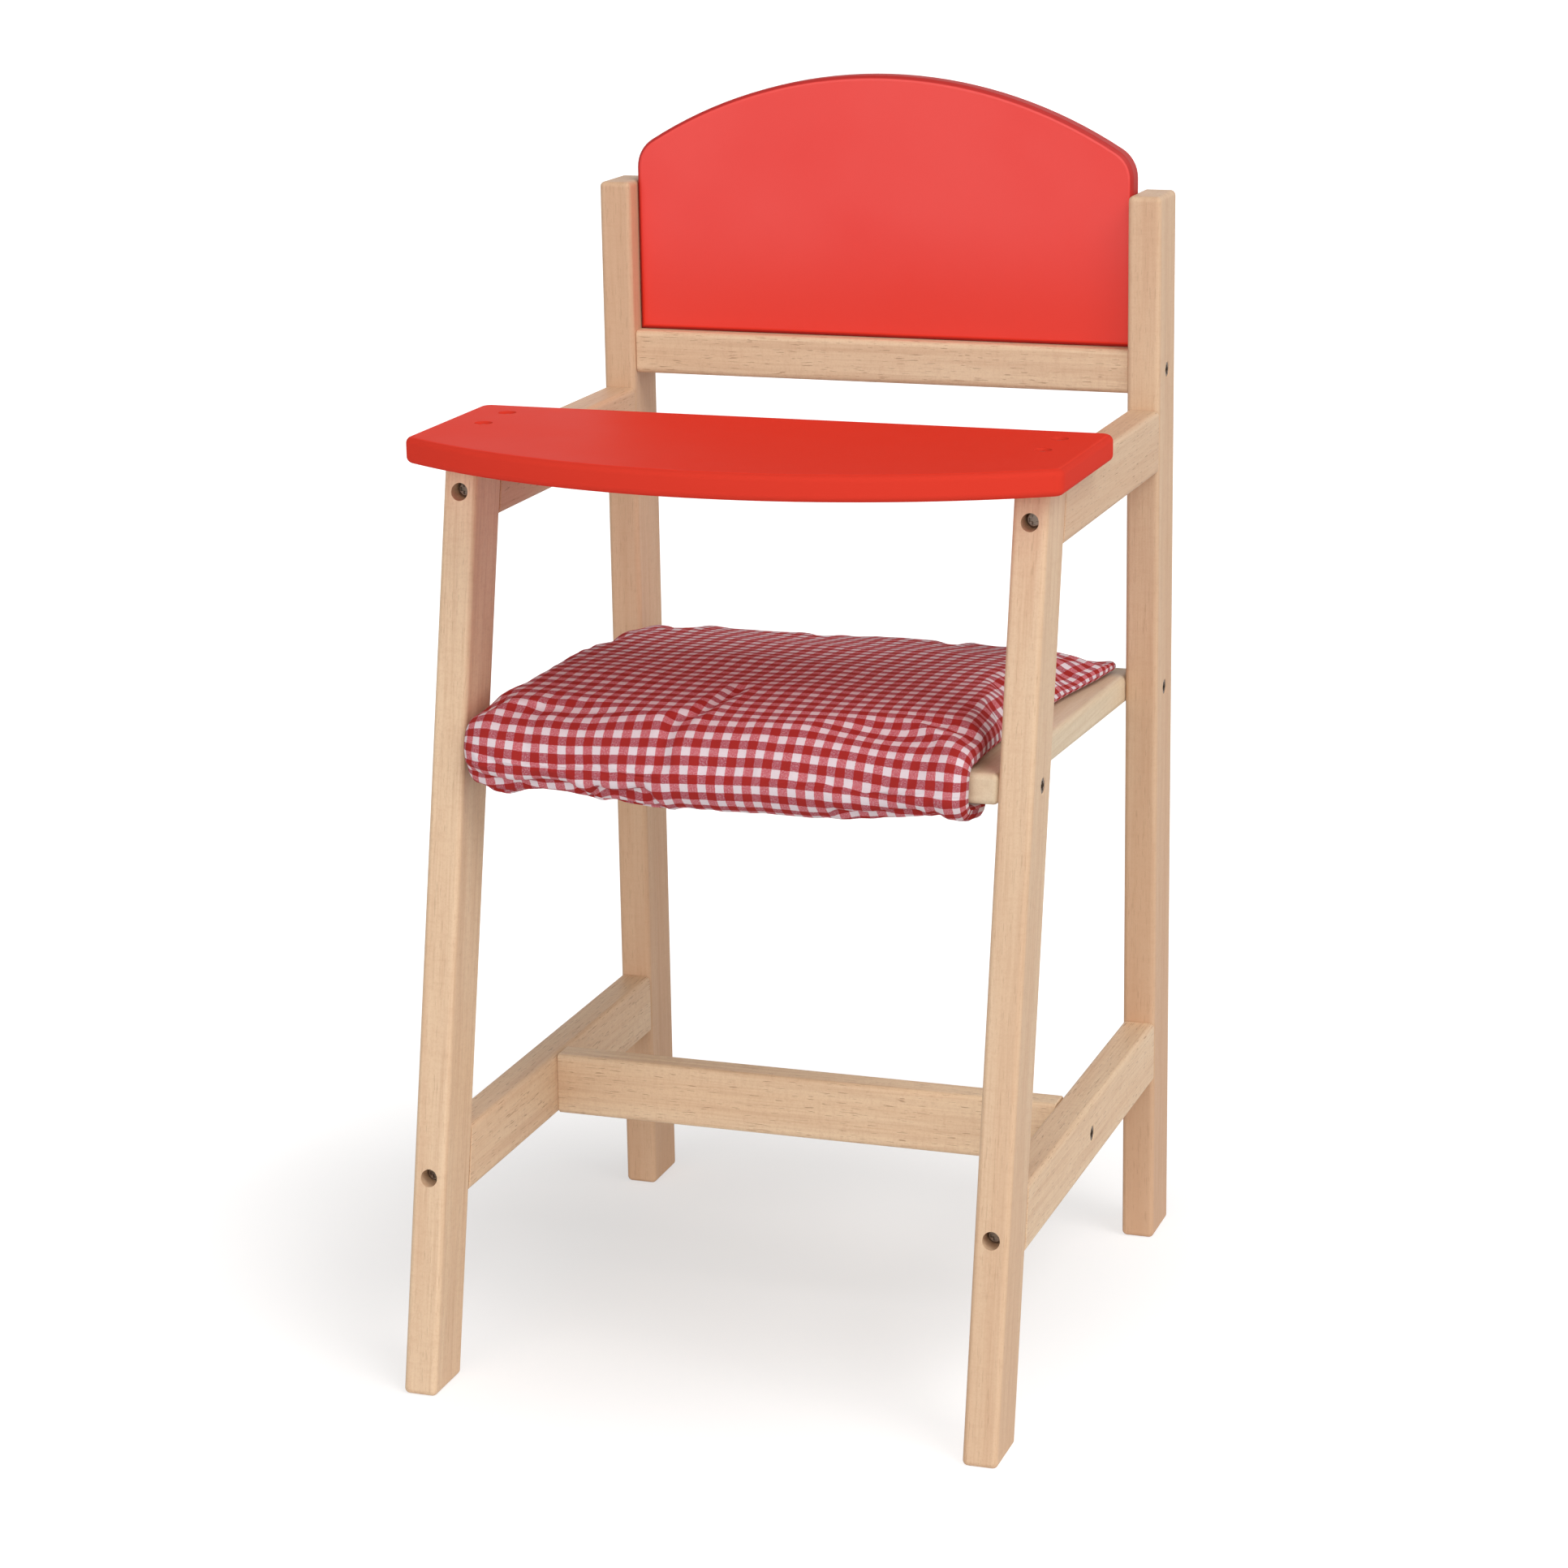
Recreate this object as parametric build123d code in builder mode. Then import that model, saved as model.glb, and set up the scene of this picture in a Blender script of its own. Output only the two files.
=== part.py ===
"""Doll high chair: beech frame, red backrest panel and tray, pine seat board, gingham cushion.

Millimetres. Z is up, the chair faces -Y, and the origin is on the floor under the middle of the
rectangle that the front feet and the rear posts stand in.
"""
import os
from math import cos, radians, sin, tan

from build123d import *

# Overall frame
frame_width = 282
footprint_depth = 311
post_height = 520
stock_width = 16
post_depth = 31
leg_depth = 29
leg_lean = 11.55
arris = 2.5
joint_ease = 0.4

# Armrests, side stretchers and the bar that joins them
arm_top = 419
arm_height = 30
stretcher_bottom = 83.5
stretcher_height = 30
crossbar_setback = 111
crossbar_thickness = 15
crossbar_height = 30

# Back rail and backrest panel
rail_drop = 94
rail_height = 21
rail_depth = 27
rail_setback = 3
panel_setback = 10
panel_thickness = 12
panel_crown_rise = 126
panel_shoulder_rise = 88
panel_shoulder_radius = 16
panel_edge_radius = 2.5

# Tray
tray_side_overhang = 11
tray_front_overhang = 18.5
tray_thickness = 12
tray_side_depth = 89
tray_bow = 45
tray_corner_radius = 6
tray_edge_radius = 3

# Seat board, tilted so that its front is the higher end
seat_height = 297
seat_tilt = 2.2
board_thickness = 14
board_rear_reach = 22
board_edge_radius = 3

# Long screws along Y, sunk in counterbores, and the dowels beside them
long_screw_length = 50
long_screw_diameter = 4
long_head_diameter = 7.2
long_head_height = 3
counterbore_diameter = 8
counterbore_depth = 9.5
dowel_diameter = 5
dowel_drop = 9
dowel_in_post = 8
dowel_in_rail = 12
dowel_end_gap = 0.5
dowel_chamfer = 0.8

# Countersunk screws: through the sides along X, and down through the tray
side_screw_length = 40
side_screw_diameter = 3.5
side_head_diameter = 7
tray_screw_length = 20
tray_screw_diameter = 3
tray_head_diameter = 6
tray_screw_front_inset = 6.5
tray_screw_rear_inset = 21
tray_screw_side_inset = 1.5
countersink_angle = 90
head_sink = 0.4
tray_head_sink = 1.2

# Phillips recess, and the rounding of a pan head's rim
recess_width_share = 0.25
recess_span_share = 0.62
recess_depth_share = 0.4
head_rounding_share = 0.33

# Dowels of the backrest panel
panel_dowel_diameter = 6
panel_dowel_spread = 80
panel_dowel_rise = 55
panel_dowel_in_rail = 10
panel_dowel_in_post = 8
panel_dowel_in_panel = 14

# Seat cushion, wrapped over the front edge of the board
cushion_crown = 20.5
cushion_front_thickness = 12
cushion_lip_thickness = 9
cushion_flap_reach = 20
cushion_edge_thickness = 4
cushion_rear_margin = 7
cushion_left_margin = 2
cushion_right_margin = 7.5
cushion_side_draw = 5.5
length_shares = (0.0, 0.1, 0.3, 0.55, 0.8, 0.94, 1.0)
crown_shares = (0.0, 0.6, 1.0, 1.0, 0.8, 0.4, 0.0)
draw_shares = (0.4, 0.4, 0.7, 1.0, 0.6, 0.15, 0.0)
seam_height_share = 0.3
shoulder_height_share = 0.85
shoulder_inset_share = 0.7
corner_bulge_share = 0.3

# Cotton ties under the board, each held by a grip patch
tie_width = 10
tie_thickness = 1
tie_inset = 4
tie_reach = 128
tie_sag = 7
tie_bend_radius = 12
tie_reach_shares = (0.0, 0.05, 0.2, 0.42, 0.66, 1.0)
tie_sag_shares = (0.0, 0.0, 0.9, 1.0, 0.0, 0.0)
patch_length = 22
patch_width = 12
patch_thickness = 1.5

# Clearances
soft_clearance = 0.3
shank_clearance = 0.25
pilot_clearance = 0.05
overrun = 2

# Places worked out from the sizes above
side_x = (frame_width - stock_width) / 2
inner_x = frame_width / 2 - stock_width
rear_y = footprint_depth / 2
post_front_y = rear_y - post_depth
post_y = rear_y - post_depth / 2
foot_front_y = -footprint_depth / 2
leg_run = leg_depth / cos(radians(leg_lean))
arm_z = arm_top - arm_height / 2
stretcher_z = stretcher_bottom + stretcher_height / 2
crossbar_y = post_front_y - crossbar_setback - crossbar_thickness / 2
rail_bottom = post_height - rail_drop
rail_top = rail_bottom + rail_height
rail_z = rail_bottom + rail_height / 2
rail_y = post_front_y + rail_setback + rail_depth / 2
panel_y = post_front_y + panel_setback + panel_thickness / 2
tray_top = arm_top + tray_thickness


def leg_front(height):
    """Y of the leaning leg's front face at a height."""
    return foot_front_y + height * tan(radians(leg_lean))


def leg_rear(height):
    """Y of the leaning leg's rear face at a height."""
    return leg_front(height) + leg_run


tray_end_y = leg_front(arm_top) - tray_front_overhang
tray_screw_ys = (leg_rear(arm_top) - tray_screw_front_inset, leg_rear(arm_top) + tray_screw_rear_inset)
tray_screw_x = side_x - tray_screw_side_inset
board_front_y = leg_front(seat_height)
board_length = (post_front_y + board_rear_reach - board_front_y) / cos(radians(seat_tilt))
cushion_length = board_length - cushion_rear_margin
tilt_sin = sin(radians(seat_tilt))
tilt_cos = cos(radians(seat_tilt))
seat_plane = Plane(origin=(0, board_front_y, seat_height), x_dir=(1, 0, 0), z_dir=(0, tilt_sin, tilt_cos))


def board_mid_height(y):
    """Height of the board's middle layer at a place along Y."""
    return seat_height - (y - board_front_y) * tan(radians(seat_tilt)) - board_thickness / 2 / tilt_cos


seat_screw_rear = (post_y, board_mid_height(post_y))
leg_mid_y = leg_front(seat_height) + leg_run / 2
seat_screw_front = (leg_mid_y, board_mid_height(leg_mid_y))


def facing(point, direction):
    """Plane at a point, with its Z along the given direction, which a hole enters against."""
    return Plane(origin=point, z_dir=direction)


def long_hole(point, direction, thickness):
    """Counterbored clearance hole through a leg or a post."""
    outside = facing(point, direction).offset(overrun)
    with Locations(outside):
        CounterBoreHole(
            radius=long_screw_diameter / 2 + shank_clearance,
            counter_bore_radius=counterbore_diameter / 2,
            counter_bore_depth=counterbore_depth + overrun,
            depth=thickness + 2 * overrun,
        )


def sunk_hole(point, direction, screw_diameter, head_diameter, thickness, sink):
    """Countersunk clearance hole, wide enough for the head to lie below the surface by the sink."""
    with Locations(facing(point, direction)):
        CounterSinkHole(
            radius=screw_diameter / 2 + shank_clearance,
            counter_sink_radius=head_diameter / 2 + sink,
            depth=thickness + overrun,
            counter_sink_angle=countersink_angle,
        )


def side_hole(y, height):
    """Countersunk hole through a left-hand member, from its outer face."""
    outer_point = (-frame_width / 2, y, height)
    sunk_hole(outer_point, (-1, 0, 0), side_screw_diameter, side_head_diameter, stock_width, head_sink)


def blind_hole(point, direction, diameter, depth):
    """Round blind hole for the thread of a screw or for a dowel."""
    with Locations(facing(point, direction)):
        Hole(radius=diameter / 2 + pilot_clearance, depth=depth)


# Rear posts
with BuildPart() as left_rear_post:
    with BuildSketch():
        with Locations((-side_x, post_y)):
            Rectangle(stock_width, post_depth)
    extrude(amount=post_height)
    fillet(left_rear_post.edges(), radius=arris)
    for height in (arm_z, stretcher_z):
        long_hole((-side_x, rear_y, height), (0, 1, 0), post_depth)
        blind_hole(
            (-side_x, post_front_y, height - dowel_drop), (0, -1, 0), dowel_diameter, dowel_in_post
        )
    for y, height in ((post_y, rail_z), seat_screw_rear):
        side_hole(y, height)
    blind_hole((-inner_x, post_y + dowel_drop, rail_z), (1, 0, 0), dowel_diameter, dowel_in_post)
    panel_dowel_mouth = (-inner_x, panel_y, rail_top + panel_dowel_rise)
    blind_hole(panel_dowel_mouth, (1, 0, 0), panel_dowel_diameter, panel_dowel_in_post)

with BuildPart() as right_rear_post:
    mirror(left_rear_post.part, about=Plane.YZ)

# Leaning front legs, cut level at the floor and under the tray
with BuildPart() as left_front_leg:
    with BuildSketch(Plane.YZ.offset(-frame_width / 2)):
        Polygon(
            (leg_front(0), 0),
            (leg_rear(0), 0),
            (leg_rear(arm_top), arm_top),
            (leg_front(arm_top), arm_top),
            align=None,
        )
    extrude(amount=stock_width)
    fillet(left_front_leg.edges(), radius=arris)
    for height in (arm_z, stretcher_z):
        long_hole((-side_x, leg_front(height), height), (0, -1, 0), leg_run)
        blind_hole(
            (-side_x, leg_rear(height - dowel_drop) + overrun, height - dowel_drop),
            (0, 1, 0),
            dowel_diameter,
            dowel_in_post + overrun,
        )
    side_hole(*seat_screw_front)
    blind_hole(
        (-tray_screw_x, tray_screw_ys[0], arm_top),
        (0, 0, 1),
        tray_screw_diameter,
        tray_screw_length - tray_thickness,
    )

with BuildPart() as right_front_leg:
    mirror(left_front_leg.part, about=Plane.YZ)


def ease_ends(bar, ordered_faces):
    """Take the sharp corner off both butt ends of a bar, which leaves a fine line at the joint."""
    ends = ordered_faces[0].edges() + ordered_faces[-1].edges()
    chamfer(ends, length=joint_ease)


def side_member(bottom, height):
    """Bar of one side from the leg's slanting rear face to the post, rounded along its length."""
    top = bottom + height
    with BuildPart() as bar:
        with BuildSketch(Plane.YZ.offset(-frame_width / 2)):
            Polygon(
                (leg_rear(bottom), bottom),
                (post_front_y, bottom),
                (post_front_y, top),
                (leg_rear(top), top),
                align=None,
            )
        extrude(amount=stock_width)
        fillet(bar.edges().filter_by(Axis.Y), radius=arris)
        ease_ends(bar, bar.faces().sort_by(Axis.Y))
        middle = bottom + height / 2
        screw_reach = long_screw_length + counterbore_depth
        front_depth = leg_front(middle) + screw_reach - leg_rear(middle)
        with Locations(facing((-side_x, leg_rear(middle) - overrun, middle), (0, -1, 0))):
            Hole(radius=long_screw_diameter / 2 + pilot_clearance, depth=front_depth + overrun)
        blind_hole(
            (-side_x, post_front_y, middle), (0, 1, 0), long_screw_diameter, screw_reach - post_depth
        )
        low = middle - dowel_drop
        blind_hole(
            (-side_x, leg_rear(low) - overrun, low), (0, -1, 0), dowel_diameter, dowel_in_rail + overrun
        )
        blind_hole((-side_x, post_front_y, low), (0, 1, 0), dowel_diameter, dowel_in_rail)
    return bar


# Armrests, tapped for the rear pair of tray screws
with BuildPart() as left_armrest:
    add(side_member(arm_top - arm_height, arm_height).part)
    blind_hole(
        (-tray_screw_x, tray_screw_ys[1], arm_top),
        (0, 0, 1),
        tray_screw_diameter,
        tray_screw_length - tray_thickness,
    )

with BuildPart() as right_armrest:
    mirror(left_armrest.part, about=Plane.YZ)

# Side stretchers, drilled through for the crossbar
with BuildPart() as left_stretcher:
    add(side_member(stretcher_bottom, stretcher_height).part)
    side_hole(crossbar_y, stretcher_z)
    blind_hole(
        (-inner_x, crossbar_y, stretcher_z + dowel_drop), (1, 0, 0), dowel_diameter, dowel_in_post
    )

with BuildPart() as right_stretcher:
    mirror(left_stretcher.part, about=Plane.YZ)


def end_holes(y, height, dowel_y, dowel_z):
    """Pilot hole and dowel hole in both ends of a bar that spans the chair."""
    for side in (-1, 1):
        outward = (side, 0, 0)
        end_x = side * inner_x
        blind_hole((end_x, y, height), outward, side_screw_diameter, side_screw_length - stock_width)
        blind_hole((end_x, dowel_y, dowel_z), outward, dowel_diameter, dowel_in_rail)


# Crossbar between the stretchers
with BuildPart() as crossbar:
    with BuildSketch(Plane.YZ.offset(-inner_x)):
        with Locations((crossbar_y, stretcher_z)):
            Rectangle(crossbar_thickness, crossbar_height)
    extrude(amount=2 * inner_x)
    fillet(crossbar.edges().filter_by(Axis.X), radius=arris)
    ease_ends(crossbar, crossbar.faces().sort_by(Axis.X))
    end_holes(crossbar_y, stretcher_z, crossbar_y, stretcher_z + dowel_drop)

# Back rail under the panel
with BuildPart() as back_rail:
    with BuildSketch(Plane.YZ.offset(-inner_x)):
        with Locations((rail_y, rail_z)):
            Rectangle(rail_depth, rail_height)
    extrude(amount=2 * inner_x)
    fillet(back_rail.edges().filter_by(Axis.X), radius=arris)
    ease_ends(back_rail, back_rail.faces().sort_by(Axis.X))
    end_holes(post_y, rail_z, post_y + dowel_drop, rail_z)
    for x in (-panel_dowel_spread, panel_dowel_spread):
        blind_hole((x, panel_y, rail_top), (0, 0, 1), panel_dowel_diameter, panel_dowel_in_rail)

# Backrest panel with an arched top and rounded shoulders
with BuildPart() as backrest_panel:
    with BuildSketch(Plane.XZ.offset(-panel_y)):
        with BuildLine():
            shoulder_z = rail_top + panel_shoulder_rise
            Polyline(
                (-inner_x, shoulder_z),
                (-inner_x, rail_top),
                (inner_x, rail_top),
                (inner_x, shoulder_z),
            )
            ThreePointArc((inner_x, shoulder_z), (0, rail_top + panel_crown_rise), (-inner_x, shoulder_z))
        panel_face = make_face()
        fillet(panel_face.vertices().group_by(Axis.Y)[-1], radius=panel_shoulder_radius)
    extrude(amount=panel_thickness / 2, both=True)
    broad_faces = backrest_panel.faces().filter_by(Axis.Y)
    fillet(broad_faces.edges(), radius=panel_edge_radius)
    for x in (-panel_dowel_spread, panel_dowel_spread):
        blind_hole((x, panel_y, rail_top), (0, 0, -1), panel_dowel_diameter, panel_dowel_in_panel)
    for side in (-1, 1):
        blind_hole(
            (side * inner_x, panel_y, rail_top + panel_dowel_rise),
            (side, 0, 0),
            panel_dowel_diameter,
            panel_dowel_in_panel,
        )

# Tray: straight rear edge, square ends, bowed front
tray_screw_places = [(side * tray_screw_x, y) for side in (-1, 1) for y in tray_screw_ys]
with BuildPart() as tray:
    with BuildSketch(Plane.XY.offset(arm_top)):
        with BuildLine():
            half = frame_width / 2 + tray_side_overhang
            rear_edge_y = tray_end_y + tray_side_depth
            Polyline(
                (-half, tray_end_y),
                (-half, rear_edge_y),
                (half, rear_edge_y),
                (half, tray_end_y),
            )
            ThreePointArc((half, tray_end_y), (0, tray_end_y - tray_bow), (-half, tray_end_y))
        tray_face = make_face()
        fillet(tray_face.vertices(), radius=tray_corner_radius)
    extrude(amount=tray_thickness)
    fillet(tray.faces().filter_by(Axis.Z).edges(), radius=tray_edge_radius)
    for x, y in tray_screw_places:
        mouth = (x, y, tray_top)
        sunk_hole(
            mouth, (0, 0, 1), tray_screw_diameter, tray_head_diameter, tray_thickness, tray_head_sink
        )

# Seat board between the inner faces of legs and posts
with BuildPart() as seat_board:
    with BuildSketch(seat_plane):
        with Locations((0, board_length / 2)):
            Rectangle(2 * inner_x, board_length)
    extrude(amount=-board_thickness)
    fillet(seat_board.edges(), radius=board_edge_radius)
    for side in (-1, 1):
        for y, height in (seat_screw_rear, seat_screw_front):
            mouth = (side * inner_x, y, height)
            blind_hole(mouth, (side, 0, 0), side_screw_diameter, side_screw_length - stock_width)


def cushion_section(plane, thickness, draw):
    """Sketch across the cushion: flat against the board, crowned outside, seams low at the sides."""
    left = inner_x - cushion_left_margin - draw
    right = inner_x - cushion_right_margin - draw
    seam = thickness * seam_height_share
    shoulder = thickness * shoulder_height_share
    inset = thickness * shoulder_inset_share
    bulge = thickness * corner_bulge_share
    middle = (right - left) / 2
    with BuildSketch(plane) as section:
        with BuildLine():
            Line((-left + bulge, 0), (right - bulge, 0))
            RadiusArc((right - bulge, 0), (right, seam), thickness)
            RadiusArc((right, seam), (right - inset, shoulder), cushion_crown)
            ThreePointArc((right - inset, shoulder), (middle, thickness), (-left + inset, shoulder))
            RadiusArc((-left + inset, shoulder), (-left, seam), cushion_crown)
            RadiusArc((-left, seam), (-left + bulge, 0), thickness)
        make_face()
    return section.sketch


def station(reach, lift, turn=0):
    """Plane square to the board at a reach from its front edge, turned forward by an angle."""
    origin = seat_plane.from_local_coords((0, reach, lift))
    upright = Plane(origin=origin, x_dir=(1, 0, 0), z_dir=(0, -tilt_cos, tilt_sin))
    return upright.rotated((turn, 0, 0))


# Seat cushion: a crowned pad whose front rolls over the board's edge, with a lip and a short flap
front_draw = cushion_side_draw * draw_shares[0]
under_lift = -board_thickness - soft_clearance
pad_sections = []
for length_share, crown_share, draw_share in zip(length_shares, crown_shares, draw_shares):
    rim = cushion_front_thickness + length_share * (cushion_edge_thickness - cushion_front_thickness)
    pad_sections.append(
        cushion_section(
            station(length_share * cushion_length - soft_clearance, soft_clearance),
            rim + crown_share * (cushion_crown - rim),
            draw_share * cushion_side_draw,
        )
    )
top_plane = station(-soft_clearance, soft_clearance)
lip_plane = station(-soft_clearance, under_lift, 90)
lip_sections = [
    cushion_section(station(-soft_clearance, soft_clearance, 90), cushion_front_thickness, front_draw),
    cushion_section(lip_plane, cushion_lip_thickness, front_draw),
]
flap_sections = [
    cushion_section(station(-soft_clearance, under_lift, 180), cushion_lip_thickness, front_draw),
    cushion_section(
        station(cushion_flap_reach, under_lift, 180), cushion_edge_thickness, cushion_side_draw
    ),
]
with BuildPart() as seat_cushion:
    loft(sections=pad_sections)
    revolve(profiles=pad_sections[0], axis=Axis(top_plane.origin, (1, 0, 0)), revolution_arc=90)
    loft(sections=lip_sections)
    revolve(profiles=lip_sections[-1], axis=Axis(lip_plane.origin, (1, 0, 0)), revolution_arc=90)
    loft(sections=flap_sections)


def side_plane(x):
    """Plane along the board at a place across it: its X runs rearward, its Y off the board's top."""
    origin = seat_plane.from_local_coords((x, 0, 0))
    return Plane(origin=origin, x_dir=(0, tilt_cos, -tilt_sin), z_dir=(1, 0, 0))


# Cotton ties from the flap's corners to the grip patches, sagging on the way
tie_level = under_lift - cushion_edge_thickness / 2
patch_level = -board_thickness - patch_thickness
tie_end_level = patch_level - soft_clearance - tie_thickness / 2
tie_run = tie_reach - cushion_flap_reach


def tie(x):
    """Tape of one side, as a strip bent along its route."""
    route_points = []
    for reach_share, sag_share in zip(tie_reach_shares, tie_sag_shares):
        level = tie_level + reach_share * (tie_end_level - tie_level)
        route_points.append((cushion_flap_reach + reach_share * tie_run, level - sag_share * tie_sag))
    with BuildPart() as tape:
        with BuildSketch(side_plane(x)):
            with BuildLine():
                FilletPolyline(*route_points, radius=tie_bend_radius)
            trace(line_width=tie_thickness)
        extrude(amount=tie_width / 2, both=True)
    return tape


tie_shift = cushion_side_draw + tie_inset + tie_width / 2
left_tie_x = -(inner_x - cushion_left_margin - tie_shift)
right_tie_x = inner_x - cushion_right_margin - tie_shift
left_tie = tie(left_tie_x)
right_tie = tie(right_tie_x)

# Grip patches on the underside of the board, over the ends of the ties
with BuildPart() as grip_patches:
    for x in (left_tie_x, right_tie_x):
        patch_middle = (x, tie_reach - patch_length / 2, -board_thickness)
        patch_plane = Plane(origin=seat_plane.from_local_coords(patch_middle), z_dir=seat_plane.z_dir)
        with BuildSketch(patch_plane):
            Rectangle(patch_width, patch_length)
        extrude(amount=-patch_thickness)


def cross_recess(head_diameter, head_height):
    """Cross recess cut into the head whose top lies at the origin."""
    span = head_diameter * recess_span_share
    blade = head_diameter * recess_width_share
    depth = head_height * recess_depth_share
    for angle in (0, 90):
        with Locations(Location((0, 0, 0), (0, 0, angle))):
            Box(span, blade, 2 * depth, mode=Mode.SUBTRACT)


def pan_screw(head_diameter, head_height, shank_diameter, length):
    """Long screw standing on its tip, its head's top at the origin."""
    head_radius = head_diameter / 2
    shank_radius = shank_diameter / 2
    tip = -head_height - length
    with BuildPart() as screw:
        with BuildSketch(Plane.XZ):
            with BuildLine():
                Polyline(
                    (0, 0),
                    (head_radius, 0),
                    (head_radius, -head_height),
                    (shank_radius, -head_height),
                    (shank_radius, tip + shank_radius),
                    (0, tip),
                    close=True,
                )
            make_face()
        revolve(axis=Axis.Z)
        rim = screw.edges().filter_by(GeomType.CIRCLE).group_by(Axis.Z)[-1]
        fillet(rim, radius=head_height * head_rounding_share)
        cross_recess(head_diameter, head_height)
    return screw


def sunk_screw(head_diameter, shank_diameter, length):
    """Countersunk screw standing on its tip, its head's top at the origin."""
    head_radius = head_diameter / 2
    shank_radius = shank_diameter / 2
    head_height = (head_radius - shank_radius) / tan(radians(countersink_angle / 2))
    with BuildPart() as screw:
        with BuildSketch(Plane.XZ):
            with BuildLine():
                Polyline(
                    (0, 0),
                    (head_radius, 0),
                    (shank_radius, -head_height),
                    (shank_radius, shank_radius - length),
                    (0, -length),
                    close=True,
                )
            make_face()
        revolve(axis=Axis.Z)
        cross_recess(head_diameter, 2 * head_height)
    return screw


def peg(diameter, length):
    """Dowel with chamfered ends, its middle at the origin."""
    with BuildPart() as dowel:
        Cylinder(diameter / 2, length)
        chamfer(dowel.edges().filter_by(GeomType.CIRCLE), length=dowel_chamfer)
    return dowel


def seats_at(height):
    """Head places of the four long screws at one height."""
    places = []
    for side in (-1, 1):
        head_depth = counterbore_depth - long_head_height
        places.append(facing((side * side_x, leg_front(height) + head_depth, height), (0, -1, 0)))
        places.append(facing((side * side_x, rear_y - head_depth, height), (0, 1, 0)))
    return places


def sides_at(y, height):
    """Head places of a pair of countersunk screws, one from each side."""
    return [facing((side * (frame_width / 2 - head_sink), y, height), (side, 0, 0)) for side in (-1, 1)]


# Screws
long_screw = pan_screw(long_head_diameter, long_head_height, long_screw_diameter, long_screw_length)
side_screw = sunk_screw(side_head_diameter, side_screw_diameter, side_screw_length - head_sink)
tray_screw = sunk_screw(tray_head_diameter, tray_screw_diameter, tray_screw_length - tray_head_sink)

with BuildPart() as arm_screws:
    with Locations(*seats_at(arm_z)):
        add(long_screw.part)

with BuildPart() as stretcher_screws:
    with Locations(*seats_at(stretcher_z)):
        add(long_screw.part)

with BuildPart() as rail_screws:
    with Locations(*sides_at(post_y, rail_z)):
        add(side_screw.part)

with BuildPart() as crossbar_screws:
    with Locations(*sides_at(crossbar_y, stretcher_z)):
        add(side_screw.part)

with BuildPart() as seat_screws:
    with Locations(*sides_at(*seat_screw_rear), *sides_at(*seat_screw_front)):
        add(side_screw.part)

with BuildPart() as tray_screws:
    with Locations(*[(x, y, tray_top - tray_head_sink) for x, y in tray_screw_places]):
        add(tray_screw.part)

# Dowels
dowel_length = dowel_in_post + dowel_in_rail - 2 * dowel_end_gap
dowel_offset = (dowel_in_rail - dowel_in_post) / 2
beech_dowel = peg(dowel_diameter, dowel_length)
panel_rail_dowel = peg(panel_dowel_diameter, panel_dowel_in_rail + panel_dowel_in_panel - 2 * dowel_end_gap)
panel_side_dowel = peg(panel_dowel_diameter, panel_dowel_in_post + panel_dowel_in_panel - 2 * dowel_end_gap)


def dowels_at(height):
    """Places of the four dowels below the long screws at one height."""
    low = height - dowel_drop
    places = []
    for side in (-1, 1):
        places.append(facing((side * side_x, leg_rear(low) + dowel_offset, low), (0, 1, 0)))
        places.append(facing((side * side_x, post_front_y - dowel_offset, low), (0, 1, 0)))
    return places


def end_dowels_at(y, height):
    """Places of the two dowels in the ends of a bar that spans the chair."""
    return [facing((side * (inner_x - dowel_offset), y, height), (1, 0, 0)) for side in (-1, 1)]


with BuildPart() as arm_dowels:
    with Locations(*dowels_at(arm_z)):
        add(beech_dowel.part)

with BuildPart() as stretcher_dowels:
    with Locations(*dowels_at(stretcher_z)):
        add(beech_dowel.part)

with BuildPart() as crossbar_dowels:
    with Locations(*end_dowels_at(crossbar_y, stretcher_z + dowel_drop)):
        add(beech_dowel.part)

with BuildPart() as rail_dowels:
    with Locations(*end_dowels_at(post_y + dowel_drop, rail_z)):
        add(beech_dowel.part)

with BuildPart() as panel_dowels:
    rail_dowel_z = rail_top + (panel_dowel_in_panel - panel_dowel_in_rail) / 2
    side_dowel_x = inner_x - (panel_dowel_in_panel - panel_dowel_in_post) / 2
    with Locations(*[(side * panel_dowel_spread, panel_y, rail_dowel_z) for side in (-1, 1)]):
        add(panel_rail_dowel.part)
    side_dowel_z = rail_top + panel_dowel_rise
    with Locations(*[facing((side * side_dowel_x, panel_y, side_dowel_z), (1, 0, 0)) for side in (-1, 1)]):
        add(panel_side_dowel.part)

pieces = {
    "left_rear_post": left_rear_post,
    "right_rear_post": right_rear_post,
    "left_front_leg": left_front_leg,
    "right_front_leg": right_front_leg,
    "left_armrest": left_armrest,
    "right_armrest": right_armrest,
    "left_side_stretcher": left_stretcher,
    "right_side_stretcher": right_stretcher,
    "crossbar": crossbar,
    "back_rail": back_rail,
    "backrest_panel": backrest_panel,
    "tray": tray,
    "seat_board": seat_board,
    "seat_cushion": seat_cushion,
    "left_cushion_tie": left_tie,
    "right_cushion_tie": right_tie,
    "grip_patches": grip_patches,
    "arm_screws": arm_screws,
    "stretcher_screws": stretcher_screws,
    "rail_screws": rail_screws,
    "crossbar_screws": crossbar_screws,
    "seat_screws": seat_screws,
    "tray_screws": tray_screws,
    "arm_dowels": arm_dowels,
    "stretcher_dowels": stretcher_dowels,
    "crossbar_dowels": crossbar_dowels,
    "rail_dowels": rail_dowels,
    "panel_dowels": panel_dowels,
}

os.makedirs("parts", exist_ok=True)
for name, piece in pieces.items():
    piece.part.label = name
    export_step(piece.part, f"parts/{name}.step")
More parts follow.
